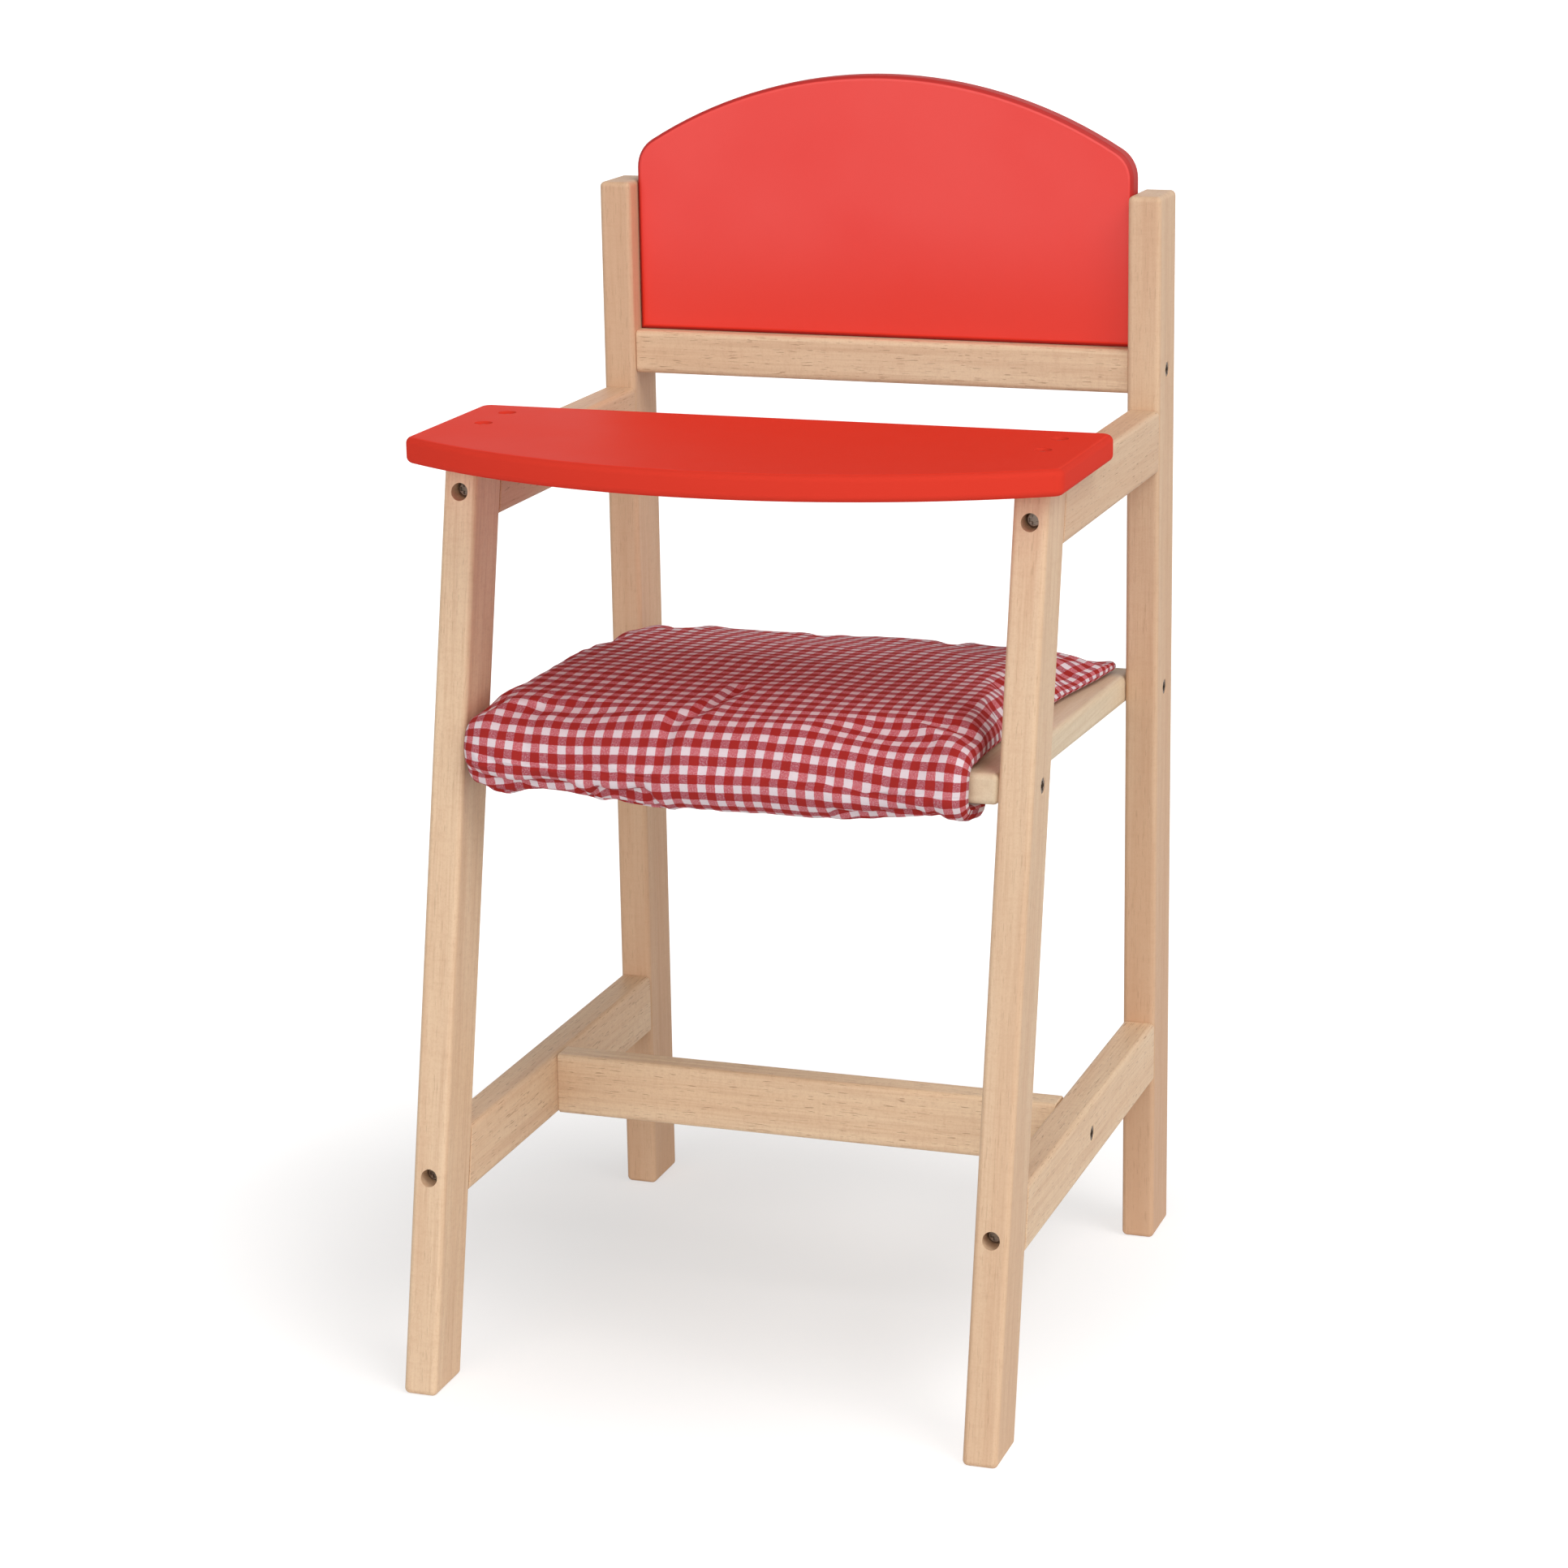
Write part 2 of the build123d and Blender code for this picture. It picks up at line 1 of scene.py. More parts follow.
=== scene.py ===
"""Looks of the doll high chair: its finishes, its padded cushion and its tapes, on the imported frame."""

import logging
import math
from dataclasses import dataclass
from enum import Enum

import bpy
import numpy as np
from mathutils import Matrix, Vector, noise


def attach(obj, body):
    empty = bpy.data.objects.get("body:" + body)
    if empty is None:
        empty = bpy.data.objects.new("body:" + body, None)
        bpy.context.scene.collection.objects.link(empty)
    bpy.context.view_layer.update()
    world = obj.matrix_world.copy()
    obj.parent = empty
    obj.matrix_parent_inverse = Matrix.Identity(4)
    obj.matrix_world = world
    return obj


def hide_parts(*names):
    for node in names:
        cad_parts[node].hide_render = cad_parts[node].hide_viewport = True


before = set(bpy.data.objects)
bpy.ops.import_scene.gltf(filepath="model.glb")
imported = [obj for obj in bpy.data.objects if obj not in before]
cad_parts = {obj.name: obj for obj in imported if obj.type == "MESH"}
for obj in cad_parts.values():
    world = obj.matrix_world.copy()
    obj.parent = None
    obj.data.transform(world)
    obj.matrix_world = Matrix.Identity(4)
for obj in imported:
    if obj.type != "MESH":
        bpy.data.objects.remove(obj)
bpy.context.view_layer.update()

log = logging.getLogger("high_chair")

Triple = tuple[float, float, float]
Colour = tuple[float, float, float]
Curve = tuple[tuple[float, float], ...]
Owner = bpy.types.Material | bpy.types.World
MILLIMETRE = 0.001
BLACK: Colour = (0.0, 0.0, 0.0)
WHITE: Colour = (1.0, 1.0, 1.0)
CLOTH_MAP = "cloth"


class Signal:
    """A number that flows through a material, so that shader maths reads as plain Python."""

    def __init__(self, shader: "Shader", socket: bpy.types.NodeSocket) -> None:
        """Keep the output socket and the material that it belongs to."""
        self.shader = shader
        self.socket = socket

    def _maths(self, operation: str, *operands: "Signal | float") -> "Signal":
        """Add one Math node that works on the operands in order.

        Args:
            operation: Name of the Math node's operation.
            *operands: Signals or numbers.

        Returns:
            The result as a new signal.
        """
        return self.shader.node("Math", {"operation": operation}, dict(enumerate(operands)))["Value"]

    def __add__(self, other: "Signal | float") -> "Signal":
        """Return self plus other."""
        return self._maths("ADD", self, other)

    def __radd__(self, other: float) -> "Signal":
        """Return other plus self."""
        return self._maths("ADD", other, self)

    def __sub__(self, other: "Signal | float") -> "Signal":
        """Return self minus other."""
        return self._maths("SUBTRACT", self, other)

    def __rsub__(self, other: float) -> "Signal":
        """Return other minus self."""
        return self._maths("SUBTRACT", other, self)

    def __mul__(self, other: "Signal | float") -> "Signal":
        """Return self times other."""
        return self._maths("MULTIPLY", self, other)

    def __rmul__(self, other: float) -> "Signal":
        """Return other times self."""
        return self._maths("MULTIPLY", other, self)

    def larger(self, other: "Signal | float") -> "Signal":
        """Return the larger of self and other."""
        return self._maths("MAXIMUM", self, other)

    def sine(self) -> "Signal":
        """Return the sine."""
        return self._maths("SINE", self)

    def ramp(self, low: float, high: float, start: float = 0.0, end: float = 1.0) -> "Signal":
        """Map a range onto another one with soft ends.

        Args:
            low: Input that gives start.
            high: Input that gives end.
            start: Result at or below low.
            end: Result at or above high.

        Returns:
            The mapped signal.
        """
        settings = {"interpolation_type": "SMOOTHSTEP"}
        values = {"Value": self, "From Min": low, "From Max": high, "To Min": start, "To Max": end}
        return self.shader.node("MapRange", settings, values)["Result"]


class Shader:
    """The nodes of a material, or of the world, under construction."""

    def __init__(self, owner: Owner, output: str = "OutputMaterial") -> None:
        """Start with nothing but the output node.

        Args:
            owner: The material or world, newly made.
            output: Type of its output node without the ShaderNode prefix.
        """
        self.owner = owner
        self.owner.use_nodes = True
        self.tree = self.owner.node_tree
        self.tree.nodes.clear()
        self.output = self.tree.nodes.new("ShaderNode" + output)

    def node(self, kind: str, settings: dict | None = None, values: dict | None = None) -> dict:
        """Add a shader node.

        Args:
            kind: Node type without its ShaderNode prefix.
            settings: Properties to set first.
            values: Sockets by name or index, each with a number, a tuple or a Signal.

        Returns:
            The node's outputs by name, each as a Signal.
        """
        made = self.tree.nodes.new("ShaderNode" + kind)
        for key, value in (settings or {}).items():
            setattr(made, key, value)
        for key, value in (values or {}).items():
            if isinstance(value, Signal):
                self.tree.links.new(value.socket, made.inputs[key])
            else:
                made.inputs[key].default_value = value
        return {out.name: Signal(self, out) for out in made.outputs if out.enabled}

    def object_space(self, turn: Triple = (0.0, 0.0, 0.0), shift: Triple = (0.0, 0.0, 0.0)) -> Signal:
        """Return Object coordinates in metres, turned by Euler angles and then shifted."""
        place = self.node("TexCoord")["Object"]
        return self.node("Mapping", None, {"Vector": place, "Rotation": turn, "Location": shift})["Vector"]

    def stretched(self, space: Signal, scales: Triple) -> Signal:
        """Return a coordinate multiplied axis by axis."""
        return self.node("VectorMath", {"operation": "MULTIPLY"}, {0: space, 1: scales})["Vector"]

    def noise(self, space: Signal, scale: float, detail: float = 2.0, rough: float = 0.5) -> Signal:
        """Return a noise from about 0 to 1 with its middle at 0.5."""
        values = {"Vector": space, "Scale": scale, "Detail": detail, "Roughness": rough}
        return self.node("TexNoise", None, values)["Fac"]

    def mix(self, share: Signal | float, first: Signal | Colour, second: Signal | Colour) -> Signal:
        """Blend two colours.

        Args:
            share: 0 gives the first colour and 1 the second.
            first: Colour or colour signal.
            second: Colour or colour signal.

        Returns:
            The blended colour.
        """
        settings = {"data_type": "RGBA", "clamp_factor": True}
        factor_socket, first_socket, second_socket = 0, 6, 7
        first, second = (end if isinstance(end, Signal) else (*end, 1.0) for end in (first, second))
        values = {factor_socket: share, first_socket: first, second_socket: second}
        return self.node("Mix", settings, values)["Result"]

    def bump(self, height: Signal, distance: float, strength: float) -> Signal:
        """Return a normal bent by a height map, where a height of 1 stands a distance proud."""
        values = {"Height": height, "Distance": distance, "Strength": strength}
        return self.node("Bump", None, values)["Normal"]

    def finish(self, surface: Signal) -> Owner:
        """Link the surface to the output and return the material or world."""
        self.tree.links.new(surface.socket, self.output.inputs["Surface"])
        return self.owner


class Grain(Enum):
    """Way that a strip's grain runs, as the turn that lays it along the pattern's X axis."""

    ACROSS = (0.0, 0.0, 0.0)
    DEEP = (0.0, 0.0, -math.pi / 2)
    UPRIGHT = (0.0, math.pi / 2, 0.0)


@dataclass(frozen=True)
class Wood:
    """A clear-varnished wood with growth bands, fibre streaks, flecks and a satin surface."""

    name: str
    pale: Colour
    mid: Colour
    dark: Colour
    fleck: Colour
    fleck_share: float = 0.6
    upright_flecks: float = 0.4
    roughness: float = 0.46
    arm_height: float = 0.45
    strip_shift: Triple = (0.37, 0.19, 0.23)
    band_scales: Triple = (3.0, 60.0, 60.0)
    figure_scales: Triple = (9.0, 280.0, 280.0)
    fibre_scales: Triple = (28.0, 1100.0, 1100.0)
    fleck_scales: Triple = (130.0, 1900.0, 1900.0)
    ray_scales: Triple = (420.0, 130.0, 130.0)
    speckle_scale: float = 1100.0
    relief: float = 0.06 * MILLIMETRE

    def material(
        self, grain: Grain, seed: int, lean: float = 0.0, dark_tone_and_shade: tuple[float, float] = (0.0, 0.0)
    ) -> bpy.types.Material:
        """Build the wood for one strip.

        Args:
            grain: Way the grain runs.
            seed: Number that shifts the pattern, so that no two strips look alike.
            lean: Angle of a leaning strip from upright, about X.
            dark_tone_and_shade: Shares of the dark tone that the strip takes, at the floor and at arm
                height; partly wood tone, partly painted shade.

        Returns:
            The material.
        """
        shader = Shader(bpy.data.materials.new(f"{self.name}_{seed}"))
        space = shader.object_space((lean, 0.0, 0.0))
        height = shader.node("SeparateXYZ", None, {0: space})["Z"]
        space = shader.node("Mapping", None, {
            "Vector": space,
            "Rotation": grain.value,
            "Location": tuple(shift * seed for shift in self.strip_shift),
        })["Vector"]
        band = shader.noise(shader.stretched(space, self.band_scales), 1.0)
        figure = shader.noise(shader.stretched(space, self.figure_scales), 1.0)
        fibre = shader.noise(shader.stretched(space, self.fibre_scales), 1.0, 3.0, 0.6)
        fleck = shader.noise(shader.stretched(space, self.fleck_scales), 1.0, 1.0).ramp(0.65, 0.71)
        ray = shader.noise(shader.stretched(space, self.ray_scales), 1.0)
        speckle = shader.noise(space, self.speckle_scale)
        tone = shader.mix(band.ramp(0.3, 0.7), self.pale, self.mid)
        tone = shader.mix(figure.ramp(0.42, 0.72, 0.0, 0.30), tone, self.dark)
        tone = shader.mix(fibre.ramp(0.4, 0.8, 0.0, 0.36), tone, self.dark)
        tone = shader.mix(ray.ramp(0.45, 0.75, 0.0, 0.16), tone, self.dark)
        tone = shader.mix(speckle.ramp(0.4, 0.8, 0.0, 0.22), tone, self.dark)
        # Each strip's share of the dark tone, from the floor to arm height: partly wood tone, partly
        # painted shade on strips that lie in shade, such as the rear posts.
        tone = shader.mix(height.ramp(0.0, self.arm_height, *dark_tone_and_shade), tone, self.dark)
        share = self.fleck_share * (self.upright_flecks if grain is Grain.UPRIGHT else 1.0)
        tone = shader.mix(fleck * share, tone, self.fleck)
        surface = shader.node("BsdfPrincipled", None, {
            "Base Color": tone,
            "Roughness": fibre.ramp(0.3, 0.7, self.roughness - 0.04, self.roughness + 0.08),
            "Specular IOR Level": 0.3,
            "Normal": shader.bump(fibre * 0.5 - fleck * 0.6, self.relief, 0.6),
        })["BSDF"]
        return shader.finish(surface)


@dataclass(frozen=True)
class Lacquer:
    """Opaque paint, darker over the edges (partly edge paint, partly painted shade), with paler cloud
    patches and a pinker upper body that are painted sheen and reflection over a deeper red low down.
    """

    name: str
    colour: Colour
    cloud_tone: Colour
    # Colour of faces turned off face_axis: partly darker edge paint, partly painted shade on those sides.
    edge: Colour
    face_axis: str
    sheen: float
    roughness: float = 0.44
    # Deeper red below low_span; above it, the pinker body is painted reflection.
    low: Colour = (0.81, 0.026, 0.008)
    low_span: tuple[float, float] = (0.0, 0.1)
    cloud_scale: float = 9.0
    peel_scales: Triple = (260.0, 260.0, 700.0)
    relief: float = 0.05 * MILLIMETRE

    def material(self) -> bpy.types.Material:
        """Build the lacquer.

        Returns:
            The material.
        """
        shader = Shader(bpy.data.materials.new(self.name))
        space = shader.object_space()
        cloud = shader.noise(space, self.cloud_scale, 3.0)
        peel = shader.noise(shader.stretched(space, self.peel_scales), 1.0)
        height = shader.node("SeparateXYZ", None, {0: space})["Z"]
        # Paler cloud patches and the pinker body above low_span are painted sheen and reflection; below it
        # lies the deeper low red.
        body = shader.mix(cloud.ramp(0.3, 0.75), self.colour, self.cloud_tone)
        body = shader.mix(height.ramp(*self.low_span, 1.0, 0.0), body, self.low)
        # Faces turned off face_axis take the edge colour: partly darker edge paint, partly painted shade.
        normal = shader.node("NewGeometry")["Normal"]
        facing = shader.node("SeparateXYZ", None, {0: normal})[self.face_axis]
        flat = (facing * facing).ramp(0.72, 0.95)
        rough = cloud.ramp(0.3, 0.7, self.roughness - 0.03, self.roughness + 0.05)
        surface = shader.node("BsdfPrincipled", None, {
            "Base Color": shader.mix(flat, self.edge, body),
            "Roughness": rough + (1.0 - flat) * 0.2,
            "Specular IOR Level": self.sheen,
            "Normal": shader.bump(peel, self.relief, 0.5),
        })["BSDF"]
        return shader.finish(surface)


@dataclass(frozen=True)
class Steel:
    """Dull plated steel of the screws."""

    name: str
    colour: Colour
    roughness: float = 0.36
    scratch_scale: float = 1500.0

    def material(self) -> bpy.types.Material:
        """Build the steel.

        Returns:
            The material.
        """
        shader = Shader(bpy.data.materials.new(self.name))
        scratch = shader.noise(shader.object_space(), self.scratch_scale)
        surface = shader.node("BsdfPrincipled", None, {
            "Base Color": (*self.colour, 1.0),
            "Metallic": 1.0,
            "Roughness": scratch.ramp(0.3, 0.7, self.roughness - 0.08, self.roughness + 0.12),
        })["BSDF"]
        return shader.finish(surface)


@dataclass(frozen=True)
class Gingham:
    """Woven check of red and white yarns, laid out by the piece's own cloth coordinates."""

    name: str
    red: Colour = (0.370, 0.019, 0.014)
    coral: Colour = (0.585, 0.115, 0.137)
    plum: Colour = (0.410, 0.062, 0.086)
    white: Colour = (0.800, 0.700, 0.735)
    threads: float = 12.0
    drift_scale: float = 9.0
    drift: float = 0.05
    speck_scale: float = 15.0
    fuzz_scale: float = 30.0
    relief: float = 0.12 * MILLIMETRE

    def material(self) -> bpy.types.Material:
        """Build the check; one unit of the cloth coordinates is one repeat of the pattern.

        Returns:
            The material.
        """
        shader = Shader(bpy.data.materials.new(self.name))
        place = shader.node("UVMap", {"uv_map": CLOTH_MAP})["UV"]
        axes = shader.node("SeparateXYZ", None, {0: place})
        across, along = axes["X"], axes["Y"]
        drift = shader.noise(place, self.drift_scale) * self.drift
        column = self._stripe(across + drift)
        row = self._stripe(along + drift)
        warp = (across * (self.threads * math.tau)).sine()
        weft = (along * (self.threads * math.tau)).sine()
        weave = warp * weft
        tone = shader.mix(column, self.white, self.coral)
        deep = shader.mix(column, self.plum, self.red)
        tone = shader.mix(row, tone, deep)
        mixed = (column - row) * (column - row)
        speck = shader.noise(place, self.speck_scale, 2.0, 0.7)
        tone = shader.mix(mixed * (weave * 0.12 + speck.ramp(0.45, 0.68, 0.0, 0.40)), tone, self.white)
        tone = shader.mix(mixed * speck.ramp(0.32, 0.50, 0.40, 0.0), tone, self.red)
        fuzz = shader.noise(place, self.fuzz_scale, 3.0, 0.7)
        tone = shader.mix(fuzz.ramp(0.35, 0.8, 0.0, 0.2), tone, self.plum)
        surface = shader.node("BsdfPrincipled", None, {
            "Base Color": tone,
            "Roughness": fuzz.ramp(0.2, 0.8, 0.82, 0.95),
            "Specular IOR Level": 0.2,
            "Normal": shader.bump(weave * 0.5 + fuzz, self.relief, 0.6),
        })["BSDF"]
        return shader.finish(surface)

    @staticmethod
    def _stripe(place: Signal) -> Signal:
        """Return 1 on a red stripe and 0 on a white one, with edges a yarn wide."""
        return (place * math.tau).sine().ramp(-0.20, 0.04)


@dataclass(frozen=True)
class Tape:
    """Plain woven or hooked tape."""

    name: str
    colour: Colour
    cloud_tone: Colour
    pitch: float = 0.6 * MILLIMETRE
    cloud_scale: float = 160.0
    relief: float = 0.15 * MILLIMETRE

    def material(self) -> bpy.types.Material:
        """Build the tape with ribs a pitch apart.

        Returns:
            The material.
        """
        shader = Shader(bpy.data.materials.new(self.name))
        space = shader.object_space()
        axes = shader.node("SeparateXYZ", None, {0: space})
        ribs = (axes["X"] * (math.tau / self.pitch)).sine() * (axes["Y"] * (math.tau / self.pitch)).sine()
        cloud = shader.noise(space, self.cloud_scale, 3.0)
        surface = shader.node("BsdfPrincipled", None, {
            "Base Color": shader.mix(cloud.ramp(0.3, 0.7), self.colour, self.cloud_tone),
            "Roughness": cloud.ramp(0.3, 0.7, 0.8, 0.92),
            "Specular IOR Level": 0.2,
            "Normal": shader.bump(ribs, self.relief, 0.7),
        })["BSDF"]
        return shader.finish(surface)


@dataclass(frozen=True)
class StudioCamera:
    """The camera at the photograph's viewpoint."""

    place: Triple = (0.58270, -1.67026, 0.74540)
    yaw: float = 0.3201
    pitch: float = -0.2576
    roll: float = -0.0120
    lens: float = 90.486
    film_width: float = 36.0
    shift: tuple[float, float] = (-0.04570, -0.02819)
    reach: float = 50.0

    def build(self) -> None:
        """Add the camera and make it the scene's own."""
        ahead = Vector((
            -math.sin(self.yaw) * math.cos(self.pitch),
            math.cos(self.yaw) * math.cos(self.pitch),
            math.sin(self.pitch),
        ))
        level = Vector((math.cos(self.yaw), math.sin(self.yaw), 0.0))
        upright = level.cross(ahead)
        right = math.cos(self.roll) * level + math.sin(self.roll) * upright
        up = math.cos(self.roll) * upright - math.sin(self.roll) * level
        data = bpy.data.cameras.new("studio_camera")
        data.sensor_fit = "HORIZONTAL"
        data.sensor_width = self.film_width
        data.lens = self.lens
        data.shift_x, data.shift_y = self.shift
        data.clip_end = self.reach
        camera = bpy.data.objects.new("studio_camera", data)
        bpy.context.scene.collection.objects.link(camera)
        turn = Matrix((right, up, -ahead)).transposed().to_4x4()
        camera.matrix_world = Matrix.Translation(self.place) @ turn
        bpy.context.scene.camera = camera


@dataclass(frozen=True)
class Sun:
    """One wide, soft sun lamp; its azimuth is 0 in front and 90 at +X, in degrees."""

    name: str
    azimuth: float
    elevation: float
    strength: float
    softness: float
    place: Triple = (0.0, 0.0, 3.0)

    def build(self) -> None:
        """Add the lamp, which shines from its azimuth and elevation."""
        bpy.ops.object.light_add(type="SUN", location=self.place)
        lamp = bpy.context.object
        lamp.name = self.name
        lamp.data.energy = self.strength
        lamp.data.angle = math.radians(self.softness)
        turn, lift = math.radians(self.azimuth), math.radians(self.elevation)
        flat = math.cos(lift)
        source = Vector((math.sin(turn) * flat, -math.cos(turn) * flat, math.sin(lift)))
        lamp.rotation_euler = (-source).to_track_quat("-Z", "Y").to_euler()


@dataclass(frozen=True)
class Studio:
    """Plain white room: floor, world and soft suns."""

    suns: tuple[Sun, ...] = (
        Sun("key_sun", 62.0, 50.0, 1.12, 30.0),
        Sun("front_sun", 0.0, 8.0, 1.85, 60.0),
        Sun("side_sun", 90.0, 8.0, 0.98, 60.0),
    )
    floor_reach: float = 30.0
    floor_colour: Colour = (0.86, 0.86, 0.87)
    shown_colour: Colour = (0.415, 0.398, 0.388)
    # The next three fields place and shape a painted shadow on the floor: a weaker glow near the chair, a
    # stronger one farther out.
    floor_shift: Triple = (0.06, -0.06, 0.0)
    floor_lift: tuple[float, float] = (0.51, 0.90)
    painted_shadow_span: tuple[float, float] = (0.05, 0.38)
    world_strength: float = 0.28
    shown_strength: float = 1.0

    def build(self) -> None:
        """Add the floor, the world and the lamps."""
        self._floor()
        self._world()
        for sun in self.suns:
            sun.build()

    def _floor(self) -> None:
        """Add the floor, which glows for the camera, less near the chair so that a painted shadow lies
        around it, and keeps its real shadows.
        """
        bpy.ops.mesh.primitive_plane_add(size=2 * self.floor_reach)
        floor = bpy.context.object
        floor.name = "floor"
        shader = Shader(bpy.data.materials.new("floor_white"))
        matt = shader.node("BsdfDiffuse", None, {"Color": (*self.floor_colour, 1.0)})["BSDF"]
        place = shader.object_space(shift=self.floor_shift)
        # The glow grows with distance from a point under the chair: a painted soft shadow around the chair,
        # white farther out.
        distance = shader.node("VectorMath", {"operation": "LENGTH"}, {0: place})["Value"]
        lift = distance.ramp(*self.painted_shadow_span, *self.floor_lift)
        glow = shader.node("Emission", None, {"Color": shader.mix(lift, BLACK, WHITE)})
        shown = shader.node("BsdfDiffuse", None, {"Color": (*self.shown_colour, 1.0)})["BSDF"]
        both = shader.node("AddShader", None, {0: shown, 1: glow["Emission"]})["Shader"]
        seen = shader.node("LightPath")["Is Camera Ray"]
        surface = shader.node("MixShader", None, {0: seen, 1: matt, 2: both})["Shader"]
        floor.data.materials.append(shader.finish(surface))

    def _world(self) -> None:
        """Light the scene evenly and show white behind it, and in whatever reflects it."""
        shader = Shader(bpy.data.worlds.new("white_room"), "OutputWorld")
        rays = shader.node("LightPath")
        seen = rays["Is Camera Ray"].larger(rays["Is Glossy Ray"]).larger(rays["Is Transmission Ray"])
        colour = (*WHITE, 1.0)
        light = shader.node("Background", None, {"Color": colour, "Strength": self.world_strength})
        shown = shader.node("Background", None, {"Color": colour, "Strength": self.shown_strength})
        values = {0: seen, 1: light["Background"], 2: shown["Background"]}
        bpy.context.scene.world = shader.finish(shader.node("MixShader", None, values)["Shader"])


def pick(*pieces: bpy.types.Object) -> None:
    """Select only these pieces and make the last one active.

    Args:
        *pieces: Objects to select.
    """
    bpy.ops.object.select_all(action="DESELECT")
    for piece in pieces:
        piece.select_set(True)
    bpy.context.view_layer.objects.active = pieces[-1]


def face_outwards(merge: float = 0.0) -> None:
    """Turn all faces of the active piece outwards.

    Args:
        merge: Distance within which points are merged first; 0 leaves them alone.
    """
    bpy.ops.object.mode_set(mode="EDIT")
    bpy.ops.mesh.select_all(action="SELECT")
    if merge:
        bpy.ops.mesh.remove_doubles(threshold=merge)
    bpy.ops.mesh.normals_make_consistent(inside=False)
    bpy.ops.object.mode_set(mode="OBJECT")


def dress(node: str, material: bpy.types.Material) -> None:
    """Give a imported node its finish.

    Args:
        node: Name of the node.
        material: Its finish.
    """
    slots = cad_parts[node].data.materials
    slots.clear()
    slots.append(material)


@dataclass(frozen=True)
class WoodenFrame:
    """The finishes of the strips, the seat board, the panel, the tray and what fastens them."""

    lean: float = math.radians(11.55)
    dowel_seed: int = 20
    board_seed: int = 30
    beech: Wood = Wood(
        "beech", (0.84, 0.640, 0.432), (0.79, 0.562, 0.364), (0.57, 0.326, 0.192), (0.34, 0.17, 0.09),
    )
    dowel: Wood = Wood(
        "dowel_beech", (0.80, 0.64, 0.46), (0.76, 0.57, 0.39), (0.64, 0.45, 0.29), (0.5, 0.3, 0.2),
    )
    pine: Wood = Wood(
        "pine", (0.78, 0.64, 0.46), (0.74, 0.58, 0.40), (0.60, 0.43, 0.27), (0.52, 0.36, 0.22),
        fleck_share=0.2,
    )
    # The panel's pinker body and paler cloud patches are painted sheen and reflection over its deeper low
    # red; its dark rim colour is partly edge paint, partly painted shade.
    panel_red: Lacquer = Lacquer(
        "panel_red", (0.83, 0.038, 0.027), (0.85, 0.058, 0.046), (0.45, 0.007, 0.003),
        face_axis="Y", sheen=0.5, roughness=0.38, low_span=(0.452, 0.512),
    )
    # The tray's darker edge colour on its front and ends is partly edge paint, partly painted shade.
    tray_red: Lacquer = Lacquer(
        "tray_red", (0.84, 0.041, 0.018), (0.86, 0.046, 0.023), (0.72, 0.044, 0.024),
        face_axis="Z", sheen=0.05, roughness=0.5,
    )
    steel: Steel = Steel("screw_steel", (0.27, 0.22, 0.18))
    hook_tape: Tape = Tape("hook_tape", (0.74, 0.72, 0.68), (0.66, 0.64, 0.60))

    def build(self) -> None:
        """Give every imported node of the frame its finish."""
        self._strips()
        for seed, place in enumerate(("arm", "stretcher", "crossbar", "rail", "panel"), self.dowel_seed):
            dress(place + "_dowels", self.dowel.material(Grain.ACROSS, seed))
        dress("seat_board", self.pine.material(Grain.DEEP, self.board_seed))
        dress("backrest_panel", self.panel_red.material())
        dress("tray", self.tray_red.material())
        steel = self.steel.material()
        for place in ("arm", "stretcher", "rail", "crossbar", "seat", "tray"):
            dress(place + "_screws", steel)
        dress("grip_patches", self.hook_tape.material())

    def _strips(self) -> None:
        """Dress the beech strips, each with its own figure and its own share of the dark tone, partly wood
        tone and partly painted shade.
        """
        # Shares of the dark tone at the floor and at arm height: partly wood tone, partly painted shade.
        strips = {
            "left_rear_post": (Grain.UPRIGHT, 0.0, (0.64, 0.50)),
            "right_rear_post": (Grain.UPRIGHT, 0.0, (0.72, 0.34)),
            "left_front_leg": (Grain.UPRIGHT, self.lean, (0.22, 0.0)),
            "right_front_leg": (Grain.UPRIGHT, self.lean, (0.36, 0.24)),
            "left_armrest": (Grain.DEEP, 0.0, (0.46, 0.46)),
            "right_armrest": (Grain.DEEP, 0.0, (0.36, 0.36)),
            "left_side_stretcher": (Grain.DEEP, 0.0, (0.20, 0.20)),
            "right_side_stretcher": (Grain.DEEP, 0.0, (0.08, 0.08)),
            "crossbar": (Grain.ACROSS, 0.0, (0.0, 0.0)),
            "back_rail": (Grain.ACROSS, 0.0, (0.12, 0.12)),
        }
        for seed, (node, (grain, lean, dark_tone_and_shade)) in enumerate(strips.items(), start=1):
            dress(node, self.beech.material(grain, seed, lean, dark_tone_and_shade))


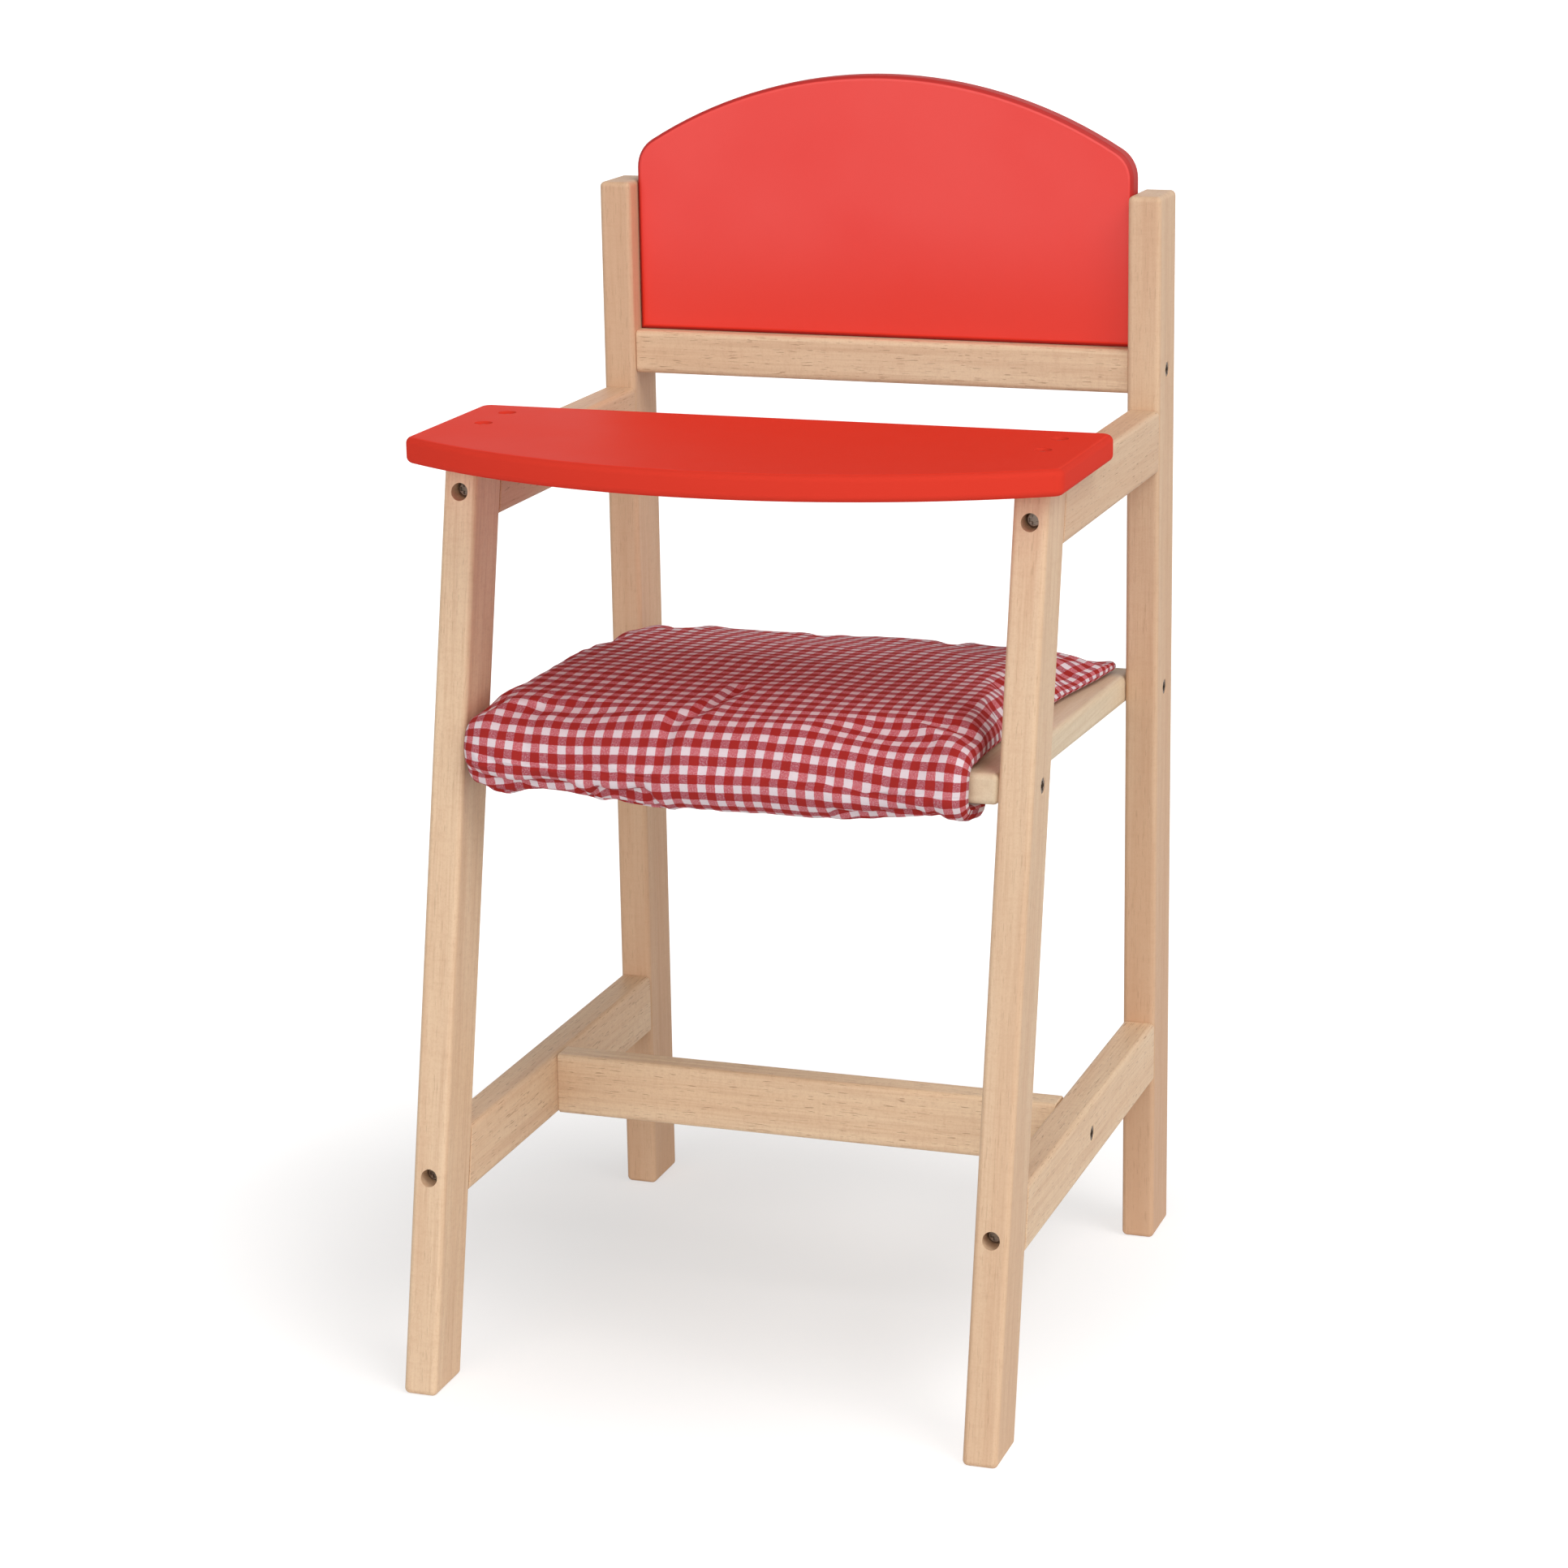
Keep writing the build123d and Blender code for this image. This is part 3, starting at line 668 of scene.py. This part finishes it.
@dataclass(frozen=True)
class Seat:
    """The board's tilted frame, in metres.

    Reach runs rearward along the board's top from its front edge, and rise stands off it. The front
    is that edge's Y and Z.
    """

    front: tuple[float, float] = (-0.09481, 0.297)
    tilt: float = math.radians(2.2)
    board_thickness: float = 0.014
    edge_radius: float = 0.003

    def world(self, across: np.ndarray, reach: np.ndarray, rise: np.ndarray) -> np.ndarray:
        """Turn seat coordinates into places in the chair's frame.

        Args:
            across: Places along X.
            reach: Distances rearward from the board's front edge.
            rise: Heights off the board's top.

        Returns:
            One row of X, Y and Z for each place.
        """
        y = self.front[0] + reach * math.cos(self.tilt) + rise * math.sin(self.tilt)
        z = self.front[1] - reach * math.sin(self.tilt) + rise * math.cos(self.tilt)
        return np.stack([across, y, z], axis=-1)

    def wrap(self, run: np.ndarray, rear: float, ease: float) -> tuple[np.ndarray, ...]:
        """Follow the board from a rear line over its top, round its front edge and under it.

        Args:
            run: Distances along that path from the rear line.
            rear: Reach of the rear line.
            ease: Gap between the path and the board.

        Returns:
            Reach and rise of the path, and reach and rise of its outward direction.
        """
        corner = self.edge_radius + ease
        quarter = corner * math.pi / 2
        top = rear - self.edge_radius
        drop = self.board_thickness - 2 * self.edge_radius
        first = np.clip((run - top) / quarter, 0.0, 1.0) * math.pi / 2
        second = np.clip((run - top - quarter - drop) / quarter, 0.0, 1.0) * math.pi / 2
        turn = first + second
        out_reach, out_rise = -np.sin(turn), np.cos(turn)
        fallen = np.clip(run - top - quarter, 0.0, drop)
        back = np.maximum(run - top - 2 * quarter - drop, 0.0)
        reach = self.edge_radius + np.maximum(top - run, 0.0) + corner * out_reach + back
        rise = -self.edge_radius - fallen + corner * out_rise
        return reach, rise, out_reach, out_rise


@dataclass(frozen=True)
class Crease:
    """A fold line in the cover, given in millimetres across and along the cloth."""

    points: Curve
    width: float
    depth: float
    shoulder_place: float = 2.0
    shoulder_share: float = 0.35

    def lower(self, across: np.ndarray, along: np.ndarray) -> np.ndarray:
        """Return how far the cover sinks, with a low shoulder on each side of the fold.

        Args:
            across: Places across, in millimetres.
            along: Places along, in millimetres.

        Returns:
            The depth at each place, in millimetres.
        """
        closest = np.full(across.shape, np.inf)
        for (x0, y0), (x1, y1) in zip(self.points, self.points[1:]):
            dx, dy = x1 - x0, y1 - y0
            length = max(math.hypot(dx, dy), 1e-6)
            part = np.clip(((across - x0) * dx + (along - y0) * dy) / length**2, 0.0, 1.0)
            distance = np.hypot(across - x0 - part * dx, along - y0 - part * dy)
            closest = np.minimum(closest, distance)
        valley = np.exp(-((closest / self.width) ** 2))
        shoulder = np.exp(-(((closest - self.shoulder_place * self.width) / self.width) ** 2))
        return self.depth * (valley - self.shoulder_share * shoulder)


@dataclass(frozen=True)
class Gather:
    """A row of small pleats, in millimetres, which unevenness shifts along by that many radians."""

    pitch: float
    depth: float
    reach: float
    unevenness: float

    def pleats(self, place: np.ndarray, wander: np.ndarray) -> np.ndarray:
        """Return the pleats' wave, from -1 to 1, with its steps made uneven."""
        return np.sin(place * math.tau / self.pitch + self.unevenness * wander)


@dataclass(frozen=True)
class Stuffing:
    """How the cover is blown up as cloth; past held_run, in millimetres along it, it is held still."""

    pressure: float = 2.5
    shrink: float = -0.03
    mass: float = 0.3
    stiffness: float = 15.0
    bending: float = 0.3
    quality: int = 6
    frames: int = 20
    held_run: float = 243.0
    limit: float = 3.0 * MILLIMETRE


@dataclass(frozen=True)
class PaddedCushion:
    """The gingham cushion, rolled over the board's front edge and tied below.

    Its profiles, spans, creases and gathers are in millimetres, across from the middle and along from
    the rear seam. Its rear line, ease, repeat and half_gap, as far as it may reach sideways, are in
    metres.
    """

    seat: Seat
    rear: float = 0.2345
    ease: float = 0.0004
    columns: int = 90
    rows: int = 132
    row_shares: tuple[float, ...] = (0.0, 0.34, 0.56, 0.95, 1.0)
    row_runs: tuple[float, ...] = (0.0, 195.0, 240.0, 262.0, 267.0)
    repeat: tuple[float, float] = (0.0083, 0.0082)
    bow_span: tuple[float, float] = (212.0, 236.0)
    row_bow: Curve = (
        (-120.0, 0.6), (-75.0, 1.8), (20.0, -2.2), (35.0, -2.2), (60.0, -1.6), (95.0, 1.0), (115.0, 2.8),
    )
    lean_run: float = 241.0
    column_lean: Curve = (
        (-110.0, -0.04), (-85.0, -0.08), (-60.0, -0.07), (-35.0, 0.03), (25.0, 0.0), (55.0, -0.06),
        (90.0, 0.0),
    )
    runs: tuple[float, ...] = (0, 5, 14, 35, 80, 130, 180, 212, 228, 240, 250, 258, 267)
    heights: tuple[float, ...] = (3, 5.5, 8, 11.5, 16, 18, 17.5, 15, 12.3, 11, 11.5, 9.5, 3)
    left_edge: tuple[float, ...] = (
        114, 120, 122, 122, 121, 121, 122, 123.8, 124.3, 124.4, 123.4, 120, 116,
    )
    right_edge: tuple[float, ...] = (
        112, 119, 121, 120, 115, 112, 113, 114, 114.5, 113.8, 113.5, 117, 115,
    )
    seam_runs: tuple[float, ...] = (0.0, 20.0, 215.0, 267.0)
    seam_heights: tuple[float, ...] = (2.0, 4.0, 4.0, 1.2)
    lining_margin: float = 8.0
    rounding_runs: tuple[float, ...] = (0.0, 40.0, 60.0, 125.0, 150.0, 178.0, 205.0, 222.0, 267.0)
    left_rounding: tuple[float, ...] = (20.0, 16.0, 13.0, 12.0, 11.0, 14.0, 24.0, 17.0, 12.0)
    right_rounding: tuple[float, ...] = (42.0, 42.0, 42.0, 30.0, 22.0, 15.0, 14.0, 13.0, 10.0)
    open_front: Curve = ((232.0, 11.7), (240.0, 12.2), (245.0, 12.4))
    open_roll: Curve = ((245.0, 0.95), (251.0, 1.0), (258.0, 0.85), (263.0, 0.55), (267.0, 0.2))
    tucked_front: Curve = ((232.0, 11.5), (240.0, 11.0), (245.0, 10.8), (246.1, 11.2), (247.7, 8.4))
    tucked_roll: Curve = (
        (247.7, 0.7), (250.2, 0.79), (252.5, 0.9), (255.0, 1.0), (259.0, 1.03), (263.0, 0.6), (267.0, 0.2),
    )
    roll_blend: float = 3.0
    tuck_span: tuple[float, float] = (-26.0, -33.0)
    hang: Curve = (
        (-121.0, 10.0), (-109.0, 13.0), (-97.0, 9.5), (-84.0, 8.5), (-71.0, 10.5), (-52.0, 11.5),
        (-33.0, 14.0), (-20.0, 11.5), (4.0, 12.0), (38.0, 11.5), (70.0, 9.0), (94.0, 5.5), (106.0, 8.0),
        (118.0, 15.0),
    )
    creases: tuple[Crease, ...] = (
        Crease(((-27.0, 238.0), (-25.0, 232.0), (-17.0, 225.0), (-13.0, 209.0), (-10.0, 188.0)), 3.0, 2.2),
        Crease(((-95.0, 2.0), (-93.0, 45.0)), 6.0, 3.4),
        Crease(((-28.0, 2.0), (-26.0, 30.0)), 4.0, 1.0),
        Crease(((37.0, 2.0), (40.0, 30.0)), 4.0, 1.3),
        Crease(((-92.0, 236.0), (-86.0, 218.0)), 3.5, 0.8),
        Crease(((-118.0, 150.0), (-96.0, 142.0)), 4.0, 0.6),
        Crease((
            (-121.0, 246.0), (-97.0, 247.5), (-84.0, 246.6), (-71.0, 247.0), (-64.0, 248.8), (-60.0, 252.0),
        ), 1.1, 3.2),
        Crease((
            (-58.0, 247.0), (-52.0, 248.0), (-42.0, 247.4), (-35.0, 246.6), (-30.0, 249.0), (-27.0, 254.0),
        ), 1.1, 3.2),
        Crease(((-116.0, 249.0), (-98.0, 250.6), (-86.0, 249.3), (-72.0, 249.8), (-62.0, 253.0)), 0.8, 1.7),
        Crease(((-112.0, 252.5), (-96.0, 253.8), (-82.0, 252.6), (-70.0, 253.4), (-62.0, 257.0)), 0.8, 1.6),
        Crease(((-52.0, 251.0), (-44.0, 250.4), (-36.0, 251.4)), 0.8, 1.7),
        Crease(((-50.0, 254.4), (-42.0, 254.0), (-35.0, 255.4)), 0.8, 1.4),
        Crease(((52.0, 247.3), (60.0, 248.2), (70.0, 248.4), (80.0, 247.6), (93.0, 247.2)), 1.0, 2.2),
        Crease(((58.0, 252.0), (72.0, 252.4), (88.0, 251.4)), 1.0, 1.2),
        Crease(((99.0, 247.0), (100.0, 258.0)), 1.9, 1.8),
        Crease(((104.0, 249.5), (112.0, 250.5), (118.0, 250.0)), 0.9, 1.2),
    )
    side_gather: Gather = Gather(11.0, 0.2, 9.0, 5.0)
    end_gather: Gather = Gather(12.0, 0.5, 10.0, 6.0)
    roll_gather: Gather = Gather(15.0, 0.15, 9.0, 7.0)
    roll_run: float = 250.0
    lump_size: float = 38.0
    lump_level: float = 4.2
    lump_heights: tuple[float, float] = (1.0, 1.2)
    rear_span: tuple[float, float] = (90.0, 30.0)
    wander_sizes: tuple[float, float] = (60.0, 25.0)
    wander_level: float = 9.1
    calm_margin: float = 6.0
    half_gap: float = 0.1245
    stuffing: Stuffing = Stuffing()

    def build(self) -> None:
        """Model the two layers, inflate the cover, join them and finish the cloth."""
        cover = self._layer("seat_cushion_cover", +1)
        self._inflate(cover)
        self._wrinkle(cover)
        lining = self._layer("seat_cushion_lining", -1)
        pick(lining, cover)
        bpy.ops.object.join()
        face_outwards(merge=0.05 * MILLIMETRE)
        smoother = cover.modifiers.new("smoother", "SUBSURF")
        smoother.levels = smoother.render_levels = 1
        bpy.ops.object.modifier_apply(modifier=smoother.name)
        bpy.ops.object.shade_smooth()
        cover.name = "padded_cushion"
        cover.data.materials.append(Gingham("gingham").material())
        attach(cover, "cushion")
        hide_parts("seat_cushion")

    def _edges(self, run: np.ndarray) -> tuple[np.ndarray, np.ndarray]:
        """Return how far the left and right edges lie from the middle, in millimetres."""
        return np.interp(run, self.runs, self.left_edge), np.interp(run, self.runs, self.right_edge)

    def _grid(self) -> tuple[np.ndarray, np.ndarray]:
        """Lay out the cushion's grid.

        Returns:
            Each point's share across and its run along in millimetres, in the mesh's own order.
        """
        runs = np.interp(np.linspace(0.0, 1.0, self.rows + 1), self.row_shares, self.row_runs)
        across, along = np.meshgrid(np.linspace(0.0, 1.0, self.columns + 1), runs)
        return across.ravel(), along.ravel()

    def _thickness(self, across: np.ndarray, run: np.ndarray) -> np.ndarray:
        """Crown the pad and round its sides.

        Args:
            across: Shares across.
            run: Places along, in millimetres.

        Returns:
            The pad's height off the board, in millimetres.
        """
        crown = np.interp(run, self.runs, self.heights)
        left, right = self._edges(run)
        width = left + right
        crown = self._hang(across * width - left, run, crown)
        from_left = across * width / np.interp(run, self.rounding_runs, self.left_rounding)
        from_right = (1.0 - across) * width / np.interp(run, self.rounding_runs, self.right_rounding)
        near = np.clip(np.minimum(from_left, from_right), 0.0, 1.0)
        seam = self._seam(run)
        return seam + (np.maximum(crown, seam) - seam) * np.sqrt(1.0 - (1.0 - near) ** 2)

    def _hang(self, x: np.ndarray, run: np.ndarray, crown: np.ndarray) -> np.ndarray:
        """Let the roll hang below the board, and tuck its left end under in a fold.

        Args:
            x: Places across, in millimetres.
            run: Places along, in millimetres.
            crown: Height of the pad without the roll.

        Returns:
            The height with the roll.
        """
        depth = np.interp(x, *zip(*self.hang))
        loose = self._profile(run, depth, self.open_front, self.open_roll)
        folded = self._profile(run, depth, self.tucked_front, self.tucked_roll)
        begins, ends = self.tuck_span
        tuck = np.clip((begins - x) / (begins - ends), 0.0, 1.0)
        roll = loose + (folded - loose) * tuck**2 * (3.0 - 2.0 * tuck)
        return np.where(run < self.open_front[0][0], crown, roll)

    def _profile(self, run: np.ndarray, depth: np.ndarray, front: Curve, roll: Curve) -> np.ndarray:
        """Return heights that follow a fixed front and then a share of the hanging depth.

        Args:
            run: Places along, in millimetres.
            depth: How far the roll hangs below the board at each place, in millimetres.
            front: Pairs of run and height for the front face.
            roll: Pairs of run and share of the depth for the underside.

        Returns:
            The heights in millimetres.
        """
        fixed = np.interp(run, *zip(*front))
        hung = depth * np.interp(run, *zip(*roll))
        blend = np.clip((run - front[-1][0]) / self.roll_blend, 0.0, 1.0)
        return fixed + (hung - fixed) * blend

    def _seam(self, run: np.ndarray) -> np.ndarray:
        """Return the height of the edge seam off the board, in millimetres."""
        return np.interp(run, self.seam_runs, self.seam_heights)

    def _layer(self, name: str, side: int) -> bpy.types.Object:
        """Lay out one layer on a grid.

        Args:
            name: Name of the object.
            side: +1 for the cover and -1 for the lining against the board.

        Returns:
            The layer, with cloth coordinates counted in repeats of the check.
        """
        bpy.ops.object.select_all(action="DESELECT")
        bpy.ops.mesh.primitive_grid_add(x_subdivisions=self.columns, y_subdivisions=self.rows, size=1.0)
        layer = bpy.context.object
        layer.name = name
        across, run = self._grid()
        left, right = self._edges(run)
        if side > 0:
            height = self._thickness(across, run)
        else:
            near_side = np.minimum(across, 1.0 - across) * (left + right)
            near = np.minimum(near_side, np.minimum(run, self.runs[-1] - run))
            height = self._seam(run) * (1.0 - np.clip(near / self.lining_margin, 0.0, 1.0)) ** 2
        path = self.seat.wrap(run * MILLIMETRE, self.rear, self.ease)
        lift = height * MILLIMETRE
        x = (-left + across * (left + right)) * MILLIMETRE
        points = self.seat.world(x, path[0] + lift * path[2], path[1] + lift * path[3])
        layer.data.vertices.foreach_set("co", points.ravel())
        self._lay_cloth(layer, points, side)
        if side > 0:
            face_outwards()
        return layer

    def _lay_cloth(self, layer: bpy.types.Object, points: np.ndarray, side: int) -> None:
        """Write cloth coordinates from the lengths of a row and a column, bowed over the front.

        Args:
            layer: The cover or the lining.
            points: Its places, one row of X, Y and Z for each point of the grid.
            side: +1 for the cover and -1 for the lining.
        """
        grid = points.reshape(self.rows + 1, self.columns + 1, 3)
        steps_across = np.linalg.norm(np.diff(grid[self.rows // 3], axis=0), axis=1)
        steps_along = np.linalg.norm(np.diff(grid[:, self.columns // 2], axis=0), axis=1)
        u = np.concatenate(([0.0], np.cumsum(steps_across)))
        v = np.concatenate(([0.0], np.cumsum(steps_along)))
        table_u, table_v = np.meshgrid(u, v)
        across, run = self._grid()
        left, right = self._edges(run)
        x = across * (left + right) - left
        begins, ends = self.bow_span
        front = np.clip((run - begins) / (ends - begins), 0.0, 1.0) ** 2
        lean = np.interp(x, *zip(*self.column_lean))
        table_u = table_u.ravel() + front * lean * (run - self.lean_run) * MILLIMETRE
        table_v = table_v.ravel() - front * np.interp(x, *zip(*self.row_bow)) * MILLIMETRE
        corner = np.empty(len(layer.data.loops), dtype=np.int32)
        layer.data.loops.foreach_get("vertex_index", corner)
        cloth = layer.data.uv_layers[0]
        cloth.name = CLOTH_MAP
        across_repeat, along_repeat = self.repeat
        values = np.stack([side * table_u[corner] / across_repeat, table_v[corner] / along_repeat], axis=-1)
        cloth.uv.foreach_set("vector", values.ravel())

    def _inflate(self, cover: bpy.types.Object) -> None:
        """Blow the cover up as cloth that is held along its seams, and keep the movement small.

        Args:
            cover: The cushion's outer layer.
        """
        stuffing = self.stuffing
        start = np.empty(len(cover.data.vertices) * 3)
        cover.data.vertices.foreach_get("co", start)
        across, run = self._grid()
        border = (across == 0) | (across == 1) | (run == 0) | (run > stuffing.held_run)
        held = cover.vertex_groups.new(name="seam")
        held.add(np.flatnonzero(border).tolist(), 1.0, "REPLACE")
        cloth = cover.modifiers.new("cloth", "CLOTH")
        settings = cloth.settings
        settings.vertex_group_mass = held.name
        settings.quality = stuffing.quality
        settings.mass = stuffing.mass
        settings.use_pressure = True
        settings.uniform_pressure_force = stuffing.pressure
        settings.shrink_min = stuffing.shrink
        settings.tension_stiffness = stuffing.stiffness
        settings.compression_stiffness = stuffing.stiffness
        settings.bending_stiffness = stuffing.bending
        settings.effector_weights.gravity = 0.0
        for step in range(1, stuffing.frames + 1):
            bpy.context.scene.frame_set(step)
        pick(cover)
        bpy.ops.object.modifier_apply(modifier=cloth.name)
        bpy.context.scene.frame_set(1)
        moved = np.empty_like(start)
        cover.data.vertices.foreach_get("co", moved)
        shift = (moved - start).reshape(-1, 3)
        length = np.linalg.norm(shift, axis=1, keepdims=True)
        log.info("cover moved by up to %.1f mm", float(length.max()) / MILLIMETRE)
        shift *= np.minimum(1.0, stuffing.limit / np.maximum(length, 1e-9))
        cover.data.vertices.foreach_set("co", (start.reshape(-1, 3) + shift).ravel())
        cover.data.update()

    @staticmethod
    def _cloud(across: np.ndarray, along: np.ndarray, level: float) -> np.ndarray:
        """Return a smooth noise on one level of its space."""
        return np.array([noise.noise(Vector((a, b, level))) for a, b in zip(across, along)])

    def _wrinkle(self, cover: bpy.types.Object) -> None:
        """Press the folds, the gathers along the seams and a slight lumpiness into the cover.

        Args:
            cover: The cushion's outer layer.
        """
        count = len(cover.data.vertices)
        points = np.empty(count * 3)
        normals = np.empty(count * 3)
        cover.data.vertices.foreach_get("co", points)
        cover.data.vertex_normals.foreach_get("vector", normals)
        points, normals = points.reshape(-1, 3), normals.reshape(-1, 3)
        across, run = self._grid()
        left, right = self._edges(run)
        x = -left + across * (left + right)
        sunk = np.zeros(count)
        for crease in self.creases:
            sunk += crease.lower(x, run)
        lumps = self._cloud(x / self.lump_size, run / self.lump_size, self.lump_level)
        size_across, size_along = self.wander_sizes
        wander = self._cloud(x / size_across, run / size_along, self.wander_level)
        begins, ends = self.rear_span
        rearward = np.clip((begins - run) / (begins - ends), 0.0, 1.0)
        everywhere, at_rear = self.lump_heights
        sunk -= (everywhere + at_rear * rearward) * lumps
        edge = np.minimum(x + left, right - x)
        end = np.minimum(run, self.runs[-1] - run)
        side = self.side_gather.pleats(run, wander) * np.exp(-edge / self.side_gather.reach)
        tip = self.end_gather.pleats(x, wander) * np.exp(-end / self.end_gather.reach)
        on_roll = np.exp(-(((run - self.roll_run) / self.roll_gather.reach) ** 2))
        roll = on_roll * self.roll_gather.pleats(x, wander)
        sunk += self.side_gather.depth * side + self.end_gather.depth * tip + self.roll_gather.depth * roll
        inside = (across > 0) & (across < 1) & (run > 0) & (run < self.runs[-1])
        fade = np.clip(edge / self.calm_margin, 0.0, 1.0)
        points -= normals * (sunk * inside * fade * MILLIMETRE)[:, None]
        points[:, 0] = np.clip(points[:, 0], -self.half_gap, self.half_gap)
        cover.data.vertices.foreach_set("co", points.ravel())
        cover.data.update()


@dataclass(frozen=True)
class CottonTie:
    """Flat cotton tape from a corner of the flap to its grip patch under the board, in metres.

    It starts and ends at these places across, and its route gives reach and rise in the seat's frame.
    """

    name: str
    node: str
    seat: Seat
    start: float
    end: float
    width: float = 0.010
    thickness: float = 0.0009
    twist: float = 0.12
    cup: float = 0.0012
    looseness: float = 1.35
    columns: int = 4
    steps: int = 60
    softenings: int = 8
    crisp_angle: float = math.radians(40.0)
    route: Curve = (
        (0.0185, -0.0166), (0.030, -0.0185), (0.045, -0.0215), (0.062, -0.0225), (0.080, -0.0190),
        (0.098, -0.0164), (0.128, -0.0163),
    )

    def build(self, finish: bpy.types.Material) -> None:
        """Sweep the tape along its route and give it a slight cup and twist.

        Args:
            finish: The cotton.
        """
        steps = self.steps
        reaches, rises = zip(*self.route)
        reach = np.interp(np.linspace(0, 1, steps + 1), np.linspace(0, 1, len(reaches)), reaches)
        rise = np.interp(reach, reaches, rises)
        for _ in range(self.softenings):
            rise[1:-1] = (rise[:-2] + rise[1:-1] + rise[2:]) / 3.0
        bpy.ops.object.select_all(action="DESELECT")
        bpy.ops.mesh.primitive_grid_add(x_subdivisions=self.columns, y_subdivisions=steps, size=1.0)
        tape = bpy.context.object
        tape.name = self.name
        shares, rows = np.meshgrid(np.linspace(-0.5, 0.5, self.columns + 1), np.arange(steps + 1))
        shares, rows = shares.ravel(), rows.ravel()
        free = np.sin(np.clip(rows / steps * self.looseness, 0.0, 1.0) * math.pi)
        lean = shares * self.width * self.twist * free
        cup = (0.25 - shares**2) * self.cup * free
        drift = self.start + (self.end - self.start) * rows / steps
        points = self.seat.world(drift + shares * self.width, reach[rows], rise[rows] + lean - cup)
        tape.data.vertices.foreach_set("co", points.ravel())
        tape.data.update()
        body = tape.modifiers.new("body", "SOLIDIFY")
        body.thickness = self.thickness
        body.offset = 0.0
        bpy.ops.object.modifier_apply(modifier=body.name)
        face_outwards()
        bpy.ops.object.shade_smooth_by_angle(angle=self.crisp_angle)
        tape.data.materials.append(finish)
        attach(tape, "cushion")
        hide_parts(self.node)


def main() -> None:
    """Build the chair's looks and the studio in order."""
    logging.basicConfig(level=logging.INFO, format="%(message)s")
    bpy.ops.object.select_all(action="DESELECT")
    bpy.context.scene.view_settings.view_transform = "Standard"
    StudioCamera().build()
    log.info("camera placed")
    Studio().build()
    log.info("studio built")
    WoodenFrame().build()
    log.info("wooden frame dressed")
    seat = Seat()
    PaddedCushion(seat).build()
    log.info("cushion made")
    cotton = Tape("cotton_tape", (0.80, 0.74, 0.64), (0.74, 0.67, 0.56)).material()
    ties = (
        CottonTie("left_tie", "left_cushion_tie", seat, -0.1085, -0.1085),
        CottonTie("right_tie", "right_cushion_tie", seat, 0.1130, 0.1030),
    )
    for tie in ties:
        tie.build(cotton)
        log.info("%s made", tie.name)


if __name__ == "__main__":
    main()
